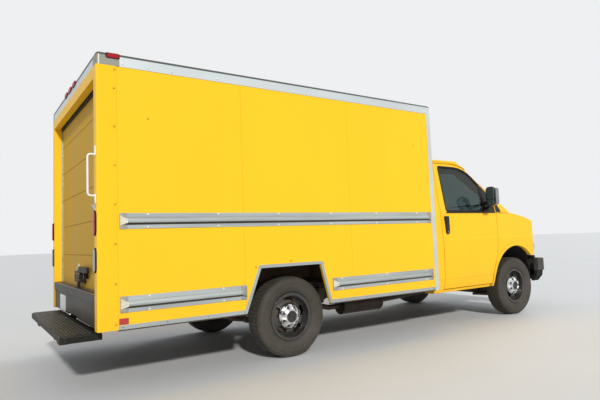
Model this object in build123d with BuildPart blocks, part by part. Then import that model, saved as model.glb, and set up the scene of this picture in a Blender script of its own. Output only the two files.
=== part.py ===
"""A box truck: a van cab and ladder frame that carry an aluminium-railed cargo box.

Millimetres. +X runs forward, +Y to the truck's left, +Z up. The origin is on the ground,
midway between the front bumper and the rear step bumper.
"""

from math import cos, radians, sin
import os

from build123d import *

os.makedirs("parts", exist_ok=True)

# Driving dimensions of the whole truck. Overhangs run from an axle to the truck's own end
WHEELBASE = 3531.0
FRONT_OVERHANG = 865.0
REAR_OVERHANG = 1975.0
RA = (REAR_OVERHANG - FRONT_OVERHANG - WHEELBASE) / 2
FA = RA + WHEELBASE
SIDES = (("left", 1), ("right", -1))

# Wheels and tyres
TYRE_R = 372.0
TYRE_W = 223.0
TYRE_OUT_Y = 986.0
TYRE_Y = TYRE_OUT_Y - TYRE_W / 2
BEAD_R = 203.0
RIM_W = 172.0
RIM_WALL = 9.0
RIM_FLANGE_R = BEAD_R + 2 * RIM_WALL
DISC_Y = 38.0
DISC_T = 12.0
HUB_R = 88.0
SPINDLE_R = 36.0
SPINDLE_STOP = 24.0
HUB_IN = 62.0
RUNNING_GAP = 0.05
HAND_HOLES = 5
KINGPIN_Y = TYRE_Y - 82.5

# Cab
CAB_BACK = FA - 1566
CAB_TO_BOX = 10.0

# Cargo box: heights of the rails and of the door opening hang from the deck and the roof
BOX_REAR = RA - 1750
BOX_FRONT = CAB_BACK - CAB_TO_BOX
BOX_HALF = 1067.0
BOX_TOP = 2588.0
FLOOR_TOP = 735.0
FLOOR_T = 30.0
RAIL_PROUD = 4.0
WALL_T = 25.0
WALL_OUT = BOX_HALF - RAIL_PROUD
WALL_IN = WALL_OUT - WALL_T
WALL_BOTTOM = FLOOR_TOP - 279
ROOF_T = 28.0
FRONT_WALL_T = 30.0
POST_D = 152.0
POST_W = 87.0
POST_IN = BOX_HALF - POST_W
TOP_RAIL_H = 103.0
RAIL_FOOT = BOX_TOP - TOP_RAIL_H
HEADER_BOTTOM = RAIL_FOOT - 95
SILL_BOTTOM = FLOOR_TOP - 260
SILL_D = 75.0


def export(item, label):
    """Name a finished piece and write its file."""
    item.part.label = label
    export_step(item.part, f"parts/{label}.step")


def side_plane(y):
    """A vertical plane seen from the truck's right, with X and Z as its own axes."""
    return Plane(origin=(0, y, 0), x_dir=(1, 0, 0), z_dir=(0, -1, 0))


def cross_plane(x):
    """A vertical plane across the truck, with Y and Z as its own axes."""
    return Plane(origin=(x, 0, 0), x_dir=(0, 1, 0), z_dir=(1, 0, 0))


def block(x_span, y_span, z_span, mode=Mode.ADD):
    """A box between two corners, given as a span along each axis."""
    size = [high - low for low, high in (x_span, y_span, z_span)]
    middle = [(high + low) / 2 for low, high in (x_span, y_span, z_span)]
    with Locations(tuple(middle)):
        Box(*size, mode=mode)


def both_sides(near, far, x_span, z_span, mode=Mode.ADD):
    """The same box on the left and on the right, from one |y| to another."""
    for _, side in SIDES:
        y_span = sorted((side * near, side * far))
        block(x_span, y_span, z_span, mode)


def across(x, y, z, radius, length, mode=Mode.ADD):
    """A cylinder that lies across the truck, centred on a point."""
    with Locations(Plane(origin=(x, y, z), z_dir=(0, 1, 0))):
        Cylinder(radius, length, mode=mode)


# Wheels: a solid tyre ring and a pressed steel rim on each corner

WHEELS = (
    # name, axle x, side
    ("front_left", FA, 1),
    ("front_right", FA, -1),
    ("rear_left", RA, 1),
    ("rear_right", RA, -1),
)
RIM_SEAT = BEAD_R - 0.3
RIM_BORE = RIM_SEAT - RIM_WALL - 12
BEAD_HALF = RIM_W / 2 - RIM_WALL - 0.5
TREAD_HALF = TYRE_W / 2 - 42
HAND_HOLE_R = 143.0


def wheel_ring(x, side, profile):
    """Revolve a profile of (radius, distance outboard of the tyre's middle) about a wheel's axle."""
    plane = Plane(origin=(x, side * TYRE_Y, TYRE_R), x_dir=(1, 0, 0), z_dir=(0, 0, side))
    with BuildSketch(plane) as section:
        with BuildLine():
            Polyline(*profile, close=True)
        make_face()
    revolve(section.sketch, axis=Axis((x, side * TYRE_Y, TYRE_R), (0, 1, 0)))


def make_tyre(name, x, side):
    outer_half = [
        (RIM_FLANGE_R + 3, BEAD_HALF),
        (RIM_FLANGE_R + 62, TYRE_W / 2),
        (TYRE_R - 22, TYRE_W / 2 - 13),
        (TYRE_R, TREAD_HALF),
    ]
    inner_half = [(r, -w) for r, w in reversed(outer_half)]
    with BuildPart() as tyre:
        wheel_ring(x, side, [(BEAD_R, -BEAD_HALF), (BEAD_R, BEAD_HALF), *outer_half, *inner_half])
    export(tyre, f"tyre_{name}")


def make_rim(name, x, side):
    half = RIM_W / 2
    bore = SPINDLE_R + RUNNING_GAP
    with BuildPart() as rim:
        wheel_ring(x, side, [
            (RIM_SEAT, RIM_WALL - half),
            (RIM_SEAT, half - RIM_WALL),
            (RIM_FLANGE_R, half - RIM_WALL),
            (RIM_FLANGE_R, half),
            (RIM_SEAT - RIM_WALL, half),
            (RIM_BORE, DISC_Y - 10),
            (RIM_BORE, -half),
            (RIM_FLANGE_R, -half),
            (RIM_FLANGE_R, RIM_WALL - half),
        ])
        wheel_ring(x, side, [
            (bore, -HUB_IN),
            (HUB_R, -HUB_IN),
            (HUB_R + 4, DISC_Y - 20),
            (RIM_BORE - 52, DISC_Y),
            (RIM_BORE, DISC_Y - 18),
            (RIM_BORE, DISC_Y - 18 + DISC_T),
            (RIM_BORE - 46, DISC_Y + DISC_T),
            (HUB_R, DISC_Y - 2),
            (HUB_R - 8, DISC_Y + 26),
            (HUB_R / 2, DISC_Y + 42),
            (0, DISC_Y + 42),
            (0, 4 - SPINDLE_STOP),
            (bore, 4 - SPINDLE_STOP),
        ])
        face = Plane(origin=(x, side * (TYRE_Y + DISC_Y), TYRE_R), x_dir=(1, 0, 0), z_dir=(0, side, 0))
        with BuildSketch(face):
            with PolarLocations(HAND_HOLE_R, HAND_HOLES, start_angle=90):
                SlotCenterToCenter(40, 60, rotation=90)
        extrude(amount=60, both=True, mode=Mode.SUBTRACT)
    export(rim, f"rim_{name}")


for wheel_name, wheel_x, wheel_side in WHEELS:
    make_tyre(wheel_name, wheel_x, wheel_side)
    make_rim(wheel_name, wheel_x, wheel_side)


# Front knuckles: an upright with a spindle for the hub

BALL_JOINTS = (TYRE_R - 130, TYRE_R + 140)
UPRIGHT_T = 30.0
UPRIGHT_Y = TYRE_Y - HUB_IN - 6 - UPRIGHT_T
ARM_T = 30.0
ARM_GAP = 6.0

for knuckle_name, side in SIDES:
    spindle_y = (UPRIGHT_Y, TYRE_Y - SPINDLE_STOP)
    foot, top = BALL_JOINTS[0] + ARM_T / 2 + ARM_GAP, BALL_JOINTS[1] - ARM_T / 2 - ARM_GAP
    half_outline = [(25, foot), (62, TYRE_R - 30), (62, TYRE_R + 30), (25, top)]
    with BuildPart() as knuckle:
        across(FA, side * sum(spindle_y) / 2, TYRE_R, SPINDLE_R, spindle_y[1] - spindle_y[0])
        with BuildSketch(side_plane(side * UPRIGHT_Y)):
            with BuildLine():
                Polyline(
                    *[(FA + x, z) for x, z in half_outline],
                    *[(FA - x, z) for x, z in reversed(half_outline)],
                    close=True,
                )
            make_face()
        extrude(amount=-side * UPRIGHT_T)
        for low, high in ((foot - ARM_GAP + RUNNING_GAP, foot), (top, top + ARM_GAP - RUNNING_GAP)):
            with Locations((FA, side * KINGPIN_Y, (low + high) / 2)):
                Cylinder(14, high - low)
    export(knuckle, f"knuckle_{knuckle_name}")


# Front suspension: a crossmember, lower and upper arms, and a coil spring on each side

SPRING_Y = 580.0
SPRING_R = 58.0
FRAME_Y = 430.0
RAIL_H = 140.0
RAIL_W = 68.0
RAIL_T = 7.0
RAIL_OUT = FRAME_Y + RAIL_W / 2
RAIL_PATH = (
    # x, underside z
    (BOX_REAR + SILL_D, 490),
    (RA + 800, 490),
    (RA + 1200, 418),
    (FA - 560, 418),
    (FA - 300, 470),
    (FA + 600, 470),
)
ARMS = (
    # z of the arm's middle, inboard half width, inboard y
    (BALL_JOINTS[0], 170, FRAME_Y - 20),
    (BALL_JOINTS[1], 110, RAIL_OUT),
)

with BuildPart() as front_suspension:
    block((FA - 90, FA + 90), (10 - FRAME_Y, FRAME_Y - 10), (250, 340))
    for side_name, side in SIDES:
        for arm_z, arm_half, arm_in in ARMS:
            with BuildSketch(Plane.XY.offset(arm_z - ARM_T / 2)):
                with BuildLine():
                    Polyline(
                        (FA - arm_half, side * arm_in),
                        (FA - 34, side * (KINGPIN_Y + 20)),
                        (FA + 34, side * (KINGPIN_Y + 20)),
                        (FA + arm_half, side * arm_in),
                        close=True,
                    )
                make_face()
            extrude(amount=ARM_T)
        with Locations((FA, side * SPRING_Y, sum(BALL_JOINTS) / 2)):
            Cylinder(SPRING_R, BALL_JOINTS[1] - BALL_JOINTS[0])
        block((FA - 70, FA + 70), sorted((side * (FRAME_Y - 20), side * (RAIL_OUT + 6))), (250, 468))
export(front_suspension, "front_suspension")


# Ladder frame: two channel rails that kick up over both axles, joined by cross members

CROSS_HALF = RAIL_OUT - RAIL_T
CROSS_X = (RA - 1640, RA - 620, RA + 560, RA + 1300, FA - 1240)


def rail_outline(inset):
    """The rail seen from the side, as a strip that follows its underside path."""
    lower = [(x, z + inset) for x, z in RAIL_PATH]
    upper = [(x, z + RAIL_H - inset) for x, z in reversed(RAIL_PATH)]
    return lower + upper + lower[:1]


with BuildPart() as frame_rails:
    for side_name, side in SIDES:
        outer = side * RAIL_OUT
        with BuildSketch(side_plane(outer)):
            with BuildLine():
                Polyline(*rail_outline(0))
            make_face()
        extrude(amount=side * RAIL_W)
        with BuildSketch(side_plane(outer - side * RAIL_T)):
            with BuildLine():
                Polyline(*rail_outline(RAIL_T))
            make_face()
        extrude(amount=side * (RAIL_W - RAIL_T + 1), mode=Mode.SUBTRACT)
    for x in CROSS_X:
        low, high = (497, 623) if x < RA + 800 else (492, 551)
        block((x - 35, x + 35), (-CROSS_HALF, CROSS_HALF), (low, high))
        block((x - 28, x + 36), (-CROSS_HALF, CROSS_HALF), (low + RAIL_T, high - RAIL_T), Mode.SUBTRACT)
    block((FA + 545, FA + 595), (-CROSS_HALF, CROSS_HALF), (485, 595))
export(frame_rails, "frame_rails")


# Engine and gearbox as one plain mass, and the propeller shaft behind it

GEARBOX_END = FA - 1150
SHAFT_Z = 440.0
DIFF_REACH = 210.0

with BuildPart() as engine:
    block((FA - 300, FA + 330), (-270, 270), (400, 950))
    with BuildSketch(cross_plane(FA - 300)):
        with Locations((0, 450)):
            Rectangle(400, 240)
    with BuildSketch(cross_plane(GEARBOX_END)):
        with Locations((0, SHAFT_Z)):
            Rectangle(150, 170)
    loft()
export(engine, "engine_block")

with BuildPart() as shaft:
    shaft_start = Vector(GEARBOX_END - 20, 0, SHAFT_Z)
    shaft_end = Vector(RA + DIFF_REACH + 10, 0, TYRE_R + 4)
    run = shaft_end - shaft_start
    with Locations(Plane(origin=(shaft_start + shaft_end) / 2, z_dir=run)):
        Cylinder(40, run.length)
export(shaft, "driveshaft")


# Rear axle: tubes, a differential housing turned about its own axis, and brake drums

AXLE_TUBE_R = 44.0
DRUM_R = 165.0
DRUM_Y = TYRE_Y - 135
DIFF_PROFILE = (
    # distance ahead of the axle, radius
    (-118, 62),
    (-88, 118),
    (-25, 148),
    (50, 140),
    (130, 66),
    (DIFF_REACH, 58),
)

with BuildPart() as rear_axle:
    across(RA, 0, TYRE_R, AXLE_TUBE_R, 2 * (TYRE_Y - 120))
    across(RA, 0, TYRE_R, SPINDLE_R, 2 * (TYRE_Y - 25))
    across(RA, 0, TYRE_R, 96, 330)
    with BuildSketch(side_plane(0)):
        with BuildLine():
            Polyline(
                (RA + DIFF_PROFILE[0][0], TYRE_R),
                *[(RA + x, TYRE_R + r) for x, r in DIFF_PROFILE],
                (RA + DIFF_REACH, TYRE_R),
                close=True,
            )
        make_face()
    revolve(axis=Axis((RA, 0, TYRE_R), (1, 0, 0)))
    for side_name, side in SIDES:
        across(RA, side * DRUM_Y, TYRE_R, DRUM_R, 60)
export(rear_axle, "rear_axle")


# Leaf springs: a stack of bowed leaves under each axle tube, held by U-bolts and hung from the frame

LEAF_Y = 530.0
LEAF_W = 64.0
LEAF_T = 11.0
LEAF_HALVES = (650, 560, 420, 270)
LEAF_TOP = TYRE_R - AXLE_TUBE_R
LEAF_BOW = 104.0
LEAF_R = (LEAF_HALVES[0] ** 2 + LEAF_BOW ** 2) / (2 * LEAF_BOW)
STACK_FOOT = LEAF_TOP - LEAF_T * len(LEAF_HALVES)
EYE_R = 24.0
EYE_Z = LEAF_TOP + LEAF_BOW
U_BOLT_D = 14.0

with BuildPart() as leaf_springs:
    for side_name, side in SIDES:
        for layer, half in enumerate(LEAF_HALVES):
            with BuildSketch(side_plane(side * LEAF_Y)) as leaf:
                with Locations((RA, LEAF_TOP + LEAF_R)):
                    Circle(LEAF_R + LEAF_T * (layer + 1))
                    Circle(LEAF_R + LEAF_T * layer, mode=Mode.SUBTRACT)
                with Locations((RA, LEAF_TOP)):
                    Rectangle(2 * half, 600, mode=Mode.INTERSECT)
            extrude(leaf.sketch, amount=LEAF_W / 2, both=True)
        for end in (-1, 1):
            eye_x = RA + end * LEAF_HALVES[0]
            across(eye_x, side * LEAF_Y, EYE_Z - LEAF_T, EYE_R, LEAF_W)
            hanger = sorted((side * RAIL_OUT, side * (LEAF_Y + LEAF_W / 2)))
            block((eye_x - 45, eye_x + 45), hanger, (EYE_Z, 560))
        block(
            (RA - 75, RA + 75), sorted((side * (LEAF_Y - 52), side * (LEAF_Y + 52))),
            (STACK_FOOT - 12, STACK_FOOT),
        )
        for edge in (-1, 1):
            bolt_y = side * LEAF_Y + edge * (LEAF_W + U_BOLT_D) / 2
            outer_r = AXLE_TUBE_R + U_BOLT_D
            with BuildSketch(side_plane(bolt_y)) as u_bolt:
                with Locations((RA, TYRE_R)):
                    Circle(outer_r)
                with Locations((RA, (TYRE_R + STACK_FOOT) / 2)):
                    Rectangle(2 * outer_r, TYRE_R - STACK_FOOT)
                    Rectangle(2 * AXLE_TUBE_R, TYRE_R - STACK_FOOT, mode=Mode.SUBTRACT)
                with Locations((RA, TYRE_R)):
                    Circle(AXLE_TUBE_R, mode=Mode.SUBTRACT)
            extrude(u_bolt.sketch, amount=U_BOLT_D / 2, both=True)
export(leaf_springs, "leaf_springs")


# Fuel tank and exhaust below the frame

with BuildPart() as fuel_tank:
    block((RA + 1260, RA + 1960), (RAIL_OUT + 16, 880), (330, 590))
    fillet(fuel_tank.edges().filter_by(Axis.X), 50)
    for strap_x in (RA + 1400, RA + 1820):
        block((strap_x - 25, strap_x + 25), (RAIL_OUT, RAIL_OUT + 20), (450, 530))
export(fuel_tank, "fuel_tank")

PIPE_R = 28.0
with BuildPart() as exhaust:
    with BuildLine() as exhaust_route:
        FilletPolyline(
            (FA - 320, -330, 380),
            (FA - 1000, -330, 350),
            (RA + 1500, -560, 350),
            (RA + 700, -600, 350),
            (RA + 500, -620, 400),
            radius=120,
        )
    with BuildSketch(Plane(origin=exhaust_route.line @ 0, z_dir=exhaust_route.line % 0)):
        RegularPolygon(PIPE_R, 10)
    sweep()
    with Locations(Plane(origin=(RA + 1150, -582, 350), z_dir=(1, 0, 0))):
        Cylinder(95, 560)
    block((RA + 1130, RA + 1170), (-590, -RAIL_OUT), (438, 450))
export(exhaust, "exhaust")


# Cab: one outer form made where a cross-section, a plan and the hood, roof and glass surfaces
# meet. Every surface moves inwards by the same inset, so skins, panes and inner faces are parallel

CAB_HALF = 1006.0
ROCKER_Z = 402.0
CREASE_Z = 555.0
SHOULDER_Z = 1025.0
BELT_Z = 1345.0
ROOF_Z = 2083.0
DRIP = (831.0, 2003.0)
NOSE_X = FA + 720
NOSE_CORNER_R = 306.0
NOSE_SIDE_Y = CAB_HALF + 6
RIDGE_Y = 960.0
HOOD_STRIPS = (
    # a point on the fender's ridge (x, z), slope there, crown radius: they steepen towards the nose
    (FA - 60, 1340, 6.0, 8600),
    (FA + 90, 1322, 9.5, 8600),
    (FA + 230, 1294, 13.5, 8600),
    (FA + 370, 1256, 18.0, 8600),
    (FA + 455, 1225, 27.0, 5900),
    (FA + 492, 1198, 45.0, 3800),
    (FA + 508, 1165, 66.0, 2800),
)
GLASS_FOOT = (FA + 90, 1385)
GLASS_SLOPE = 36.3
GLASS_CROWN_R = 4200.0
SHELL_T = 45.0
GLASS_SET_BACK = 10.0
GLASS_T = 6.0
TRIM_PROUD = 8.0


def cylinder_cut(origin, slope, crown_r, inset, back):
    """Cuts away what lies outside a crowned surface that rises rearwards from a point."""
    along = Vector(-cos(radians(slope)), 0, sin(radians(slope)))
    start = Vector(origin[0], 0, origin[1]) - along * back
    with BuildSketch(Plane(origin=start, x_dir=(0, -1, 0), z_dir=along)) as outside:
        with Locations((0, 900)):
            Rectangle(2400, 2000)
        with Locations((0, -crown_r)):
            Circle(crown_r - inset, mode=Mode.SUBTRACT)
    extrude(outside.sketch, amount=back + 1900, mode=Mode.SUBTRACT)


def cab_section(inset):
    """The cross-section shared by the passenger cell and the nose, with a crease at sill and shoulder."""
    with BuildSketch(cross_plane(CAB_BACK - 50)) as section:
        with BuildLine():
            foot, crease, lip = (945, ROCKER_Z), (983, CREASE_Z - 7), (988, CREASE_Z + 7)
            ledge, waist, belt = (CAB_HALF, SHOULDER_Z - 15), (1000, SHOULDER_Z + 15), (968, BELT_Z)
            Line((0, ROCKER_Z), foot)
            ThreePointArc(foot, (971, 472), crease)
            Line(crease, lip)
            ThreePointArc(lip, (1001, 780), ledge)
            Line(ledge, waist)
            ThreePointArc(waist, (989, 1200), belt)
            Line(belt, DRIP)
            ThreePointArc(DRIP, (430, 2065), (0, ROOF_Z))
            mirror(about=Plane.YZ)
        make_face()
        if inset:
            offset(amount=-inset, kind=Kind.INTERSECTION)
    return section.sketch


def passenger_cell(inset):
    with BuildPart() as cell:
        with BuildSketch(Plane.XZ):
            with BuildLine():
                Polyline(
                    (FA - 980, ROOF_Z + 5),
                    (CAB_BACK, ROOF_Z + 5),
                    (CAB_BACK, ROCKER_Z - 5),
                    (FA + 150, ROCKER_Z - 5),
                    (FA + 150, 1700),
                    (FA - 560, 1915),
                )
                ThreePointArc((FA - 560, 1915), (FA - 760, 2035), (FA - 980, ROOF_Z + 5))
            make_face()
            if inset:
                offset(amount=-inset, kind=Kind.INTERSECTION)
        extrude(amount=CAB_HALF + 60, both=True)
        extrude(cab_section(inset), amount=NOSE_X - CAB_BACK + 100, mode=Mode.INTERSECT)
        cylinder_cut(GLASS_FOOT, GLASS_SLOPE, GLASS_CROWN_R, inset, 200)
    return cell.part


def nose(inset):
    with BuildPart() as front:
        block(
            (FA - 420 + inset, NOSE_X + 5 - inset), (-CAB_HALF - 60, CAB_HALF + 60),
            (ROCKER_Z - 5 + inset, 1620),
        )
        extrude(cab_section(inset), amount=NOSE_X - CAB_BACK + 100, mode=Mode.INTERSECT)
        with BuildSketch(Plane.XY):
            turn = radians(75)
            centre = (FA + 330, NOSE_SIDE_Y - NOSE_CORNER_R)
            mid = (centre[0] + NOSE_CORNER_R * sin(turn / 2), centre[1] + NOSE_CORNER_R * cos(turn / 2))
            end = (centre[0] + NOSE_CORNER_R * sin(turn), centre[1] + NOSE_CORNER_R * cos(turn))
            with BuildLine():
                Polyline(
                    (centre[0], NOSE_SIDE_Y),
                    (CAB_BACK, NOSE_SIDE_Y),
                    (CAB_BACK, -NOSE_SIDE_Y),
                    (centre[0], -NOSE_SIDE_Y),
                )
                ThreePointArc((centre[0], -NOSE_SIDE_Y), (mid[0], -mid[1]), (end[0], -end[1]))
                ThreePointArc((end[0], -end[1]), (NOSE_X, 0), end)
                ThreePointArc(end, mid, (centre[0], NOSE_SIDE_Y))
            make_face()
            if inset:
                offset(amount=-inset, kind=Kind.INTERSECTION)
        extrude(amount=ROOF_Z + 100, mode=Mode.INTERSECT)
        for ridge_x, ridge_z, slope, crown_r in HOOD_STRIPS:
            rise = RIDGE_Y ** 2 / (2 * crown_r)
            crest = (ridge_x + rise * sin(radians(slope)), ridge_z + rise * cos(radians(slope)))
            cylinder_cut(crest, slope, crown_r, inset, 900)
    return front.part


def cab_form(inset):
    """The whole outer form: the passenger cell joined to the nose."""
    with BuildPart() as form:
        add(passenger_cell(inset))
        add(nose(inset))
    return form.part


def skin(outer, inner):
    """The layer between two insets of the outer form."""
    with BuildPart() as layer:
        add(cab_form(outer))
        add(cab_form(inner), mode=Mode.SUBTRACT)
    return layer.part


def from_axle(points):
    """Points stated from the front axle, placed in the truck's frame."""
    return [(FA + x, z) for x, z in points]


def side_prism(points, near, far, side, mode, round_r=0, grow=0):
    """An outline seen from the side, extruded between two |y| on one side of the truck."""
    with BuildSketch(side_plane(side * near)) as outline:
        with BuildLine():
            Polyline(*points, close=True)
        make_face()
        if round_r:
            fillet(outline.vertices(), round_r)
        if grow:
            offset(amount=grow, kind=Kind.INTERSECTION)
    extrude(outline.sketch, amount=-side * (far - near), mode=mode)


DOOR_GAP = 8.0
DOOR_OUTLINE = from_axle((
    (-1386, 440), (-478, 440), (-474, 560), (-373, 855), (-325, 1330), (-325, 1490),
    (-400, 1588), (-540, 1722), (-650, 1825), (-725, 1880), (-800, 1919), (-900, 1946),
    (-1010, 1956), (-1332, 1956), (-1362, 1628), (-1400, 1142),
))
WINDOW_OUTLINE = from_axle((
    (-1272, 1360), (-540, 1360), (-540, 1692), (-655, 1796), (-723, 1845), (-785, 1877),
    (-870, 1901), (-960, 1912), (-1252, 1916),
))
DRIP_LINE = from_axle((
    (-1540, 1988), (-1220, 1991), (-1048, 1987), (-932, 1970), (-835, 1944), (-750, 1905), (-640, 1830),
))
DRIP_W = 15.0
FENDER_REAR = from_axle((
    (-700, 300), (-470, 300), (-466, 560), (-365, 855), (-317, 1333), (-9, 1333), (-9, 1700), (-700, 1700),
))
SCREEN_HALF = (800.0, 650.0)
SCREEN_SPAN = (75.0, 955.0)
HOOD_HALF = 785.0
HOOD_REAR = FA + 170
HOOD_T = 25.0
HOOD_LIP = 1132.0
PANEL_GAP = 6.0
ARCH_R = 460.0
ARCH_X = FA + 15
ARCH_Z = 441.0
ARCH_LIP_W = 46.0
LAMP_Y = (560.0, 960.0)
LAMP_Z = (800.0, 1122.0)
LAMP_DEPTH = 70.0
SIGNAL_TOP = 922.0
NOSE_FOOT_Z = 760.0
CAB_FLOOR_Z = 575.0
FAR_Y = CAB_HALF + 94

shell_skin = skin(0, SHELL_T)
glass_skin = skin(GLASS_SET_BACK, GLASS_SET_BACK + GLASS_T)
proud_skin = skin(-TRIM_PROUD, 2 * TRIM_PROUD)
lamp_skin = skin(0, LAMP_DEPTH)


def screen_prism(mode):
    """The windscreen's opening, cut square to the glass."""
    tilt = radians(GLASS_SLOPE)
    out = Vector(sin(tilt), 0, cos(tilt))
    with BuildSketch(Plane(origin=(GLASS_FOOT[0], 0, GLASS_FOOT[1]), x_dir=(0, 1, 0), z_dir=out)) as opening:
        with BuildLine():
            Polyline(
                (-SCREEN_HALF[0], SCREEN_SPAN[0]),
                (SCREEN_HALF[0], SCREEN_SPAN[0]),
                (SCREEN_HALF[1], SCREEN_SPAN[1]),
                (-SCREEN_HALF[1], SCREEN_SPAN[1]),
                close=True,
            )
        make_face()
        fillet(opening.vertices(), 60)
    extrude(opening.sketch, amount=250, both=True, mode=mode)


# Drip rails stand proud of the roof's sides, above the doors
with BuildPart() as drip_rails:
    add(proud_skin)
    with BuildSketch(Plane.XZ) as drip_line:
        with BuildLine():
            Spline(*DRIP_LINE)
        trace(line_width=DRIP_W)
    extrude(drip_line.sketch, amount=FAR_Y, both=True, mode=Mode.INTERSECT)
    block((FA - 1600, FA - 300), (40 - DRIP[0], DRIP[0] - 40), (1500, 2100), Mode.SUBTRACT)

with BuildPart() as cab_shell:
    add(shell_skin)
    add(drip_rails.part)
    for side_name, side in SIDES:
        side_prism(DOOR_OUTLINE, 700, FAR_Y, side, Mode.SUBTRACT, grow=DOOR_GAP)
    screen_prism(Mode.SUBTRACT)
    block((CAB_BACK - 5, FA + 900), (-820, 820), (300, CAB_FLOOR_Z - 5), Mode.SUBTRACT)
    block((FA + 90, FA + 900), (-FAR_Y, FAR_Y), (300, 1600), Mode.SUBTRACT)
    for side_name, side in SIDES:
        side_prism(
            from_axle(((-520, 300), (-520, 1339), (-15, 1339), (-15, 1500), (300, 1500), (300, 300))),
            HOOD_HALF - 5, FAR_Y, side, Mode.SUBTRACT,
        )
    block((FA - 474, FA + 900), (-FAR_Y, FAR_Y), (300, 1200), Mode.SUBTRACT)
    block((FA + 65, FA + 90), (20 - HOOD_HALF, HOOD_HALF - 20), (1262, 1338))
    block((FA + 65, FA + 160), (20 - HOOD_HALF, HOOD_HALF - 20), (1262, 1272))
export(cab_shell, "cab_shell")

with BuildPart() as windscreen:
    add(glass_skin)
    screen_prism(Mode.INTERSECT)
export(windscreen, "windscreen")

for door_name, side in SIDES:
    with BuildPart() as door:
        add(shell_skin)
        side_prism(DOOR_OUTLINE, 780, FAR_Y, side, Mode.INTERSECT)
        side_prism(WINDOW_OUTLINE, 700, FAR_Y, side, Mode.SUBTRACT, round_r=30)
    export(door, f"door_{door_name}")
    with BuildPart() as pane:
        add(glass_skin)
        side_prism(WINDOW_OUTLINE, 780, FAR_Y, side, Mode.INTERSECT, round_r=30)
    export(pane, f"door_glass_{door_name}")

# A raised lip runs round each wheel arch
with BuildPart() as arch_lips:
    add(proud_skin)
    block((FA - 470, FA + 480), (-FAR_Y, FAR_Y), (ROCKER_Z, 1000), Mode.INTERSECT)
    across(ARCH_X, 0, ARCH_Z, ARCH_R + ARCH_LIP_W, 2 * FAR_Y, Mode.INTERSECT)

with BuildPart() as front_fenders:
    add(shell_skin)
    block((FA - 470, FA + 900), (-FAR_Y, FAR_Y), (ROCKER_Z, 1600), Mode.INTERSECT)
    add(arch_lips.part)
    block((FA - 600, FA + 900), (-HOOD_HALF - PANEL_GAP, HOOD_HALF + PANEL_GAP), (300, 1700), Mode.SUBTRACT)
    across(ARCH_X, 0, ARCH_Z, ARCH_R, 2 * FAR_Y, Mode.SUBTRACT)
    block((ARCH_X - ARCH_R, ARCH_X + ARCH_R), (-FAR_Y, FAR_Y), (300, ARCH_Z), Mode.SUBTRACT)
    block((FA + 250, FA + 900), (-FAR_Y, FAR_Y), (300, NOSE_FOOT_Z), Mode.SUBTRACT)
    both_sides(LAMP_Y[0], LAMP_Y[1], (FA + 480, FA + 900), LAMP_Z, Mode.SUBTRACT)
    for side_name, side in SIDES:
        side_prism(FENDER_REAR, 700, FAR_Y, side, Mode.SUBTRACT)
export(front_fenders, "front_fenders")

with BuildPart() as hood:
    add(skin(0, HOOD_T))
    block((HOOD_REAR, FA + 900), (-HOOD_HALF, HOOD_HALF), (HOOD_LIP, 1500), Mode.INTERSECT)
export(hood, "hood")

GRILLE_BARS = 5
GRILLE_Z = (840.0, 1116.0)
GRILLE_HALF = 520.0
with BuildPart() as grille:
    add(shell_skin)
    block((FA + 500, FA + 900), (-HOOD_HALF, HOOD_HALF), (NOSE_FOOT_Z - 60, HOOD_LIP - PANEL_GAP), Mode.INTERSECT)
    both_sides(LAMP_Y[0], 900, (FA + 400, FA + 900), LAMP_Z, Mode.SUBTRACT)
    pitch = (GRILLE_Z[1] - GRILLE_Z[0]) / GRILLE_BARS
    for row in range(GRILLE_BARS):
        low = GRILLE_Z[0] + row * pitch
        block((FA + 500, FA + 900), (-GRILLE_HALF, GRILLE_HALF), (low, low + pitch - 16), Mode.SUBTRACT)
export(grille, "grille")

with BuildPart() as headlamps:
    add(lamp_skin)
    lamp_x = (FA + 483, FA + 900)
    block(lamp_x, (3 - LAMP_Y[1], LAMP_Y[1] - 3), (LAMP_Z[0] + 3, LAMP_Z[1] - 3), Mode.INTERSECT)
    block(lamp_x, (-3 - LAMP_Y[0], LAMP_Y[0] + 3), LAMP_Z, Mode.SUBTRACT)
    block(lamp_x, (-LAMP_Y[1], LAMP_Y[1]), (SIGNAL_TOP, SIGNAL_TOP + 8), Mode.SUBTRACT)
export(headlamps, "headlamps")


# Cab floor: one stepped pressing on rubber mounts, from the back wall over the arches to the cowl

FLOOR_T_CAB = 25.0
FIREWALL_X = -170.0
FIREWALL_T = 20.0
ARCH_STEP = (-500.0, 995.0)
FLOOR_BACK = CAB_BACK + SHELL_T - FA
FLOOR_STEPS = (
    # x from the front axle, z of the upper face
    (FLOOR_BACK, CAB_FLOOR_Z + FLOOR_T_CAB),
    (ARCH_STEP[0], CAB_FLOOR_Z + FLOOR_T_CAB),
    ARCH_STEP,
    (FIREWALL_X, ARCH_STEP[1]),
    (FIREWALL_X, 1290),
)
FLOOR_HALF = 925.0
RAIL_TOP_AT_CAB = RAIL_PATH[2][1] + RAIL_H
TUNNEL_HALF = 320.0
TUNNEL_TOP = 1010.0

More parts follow.
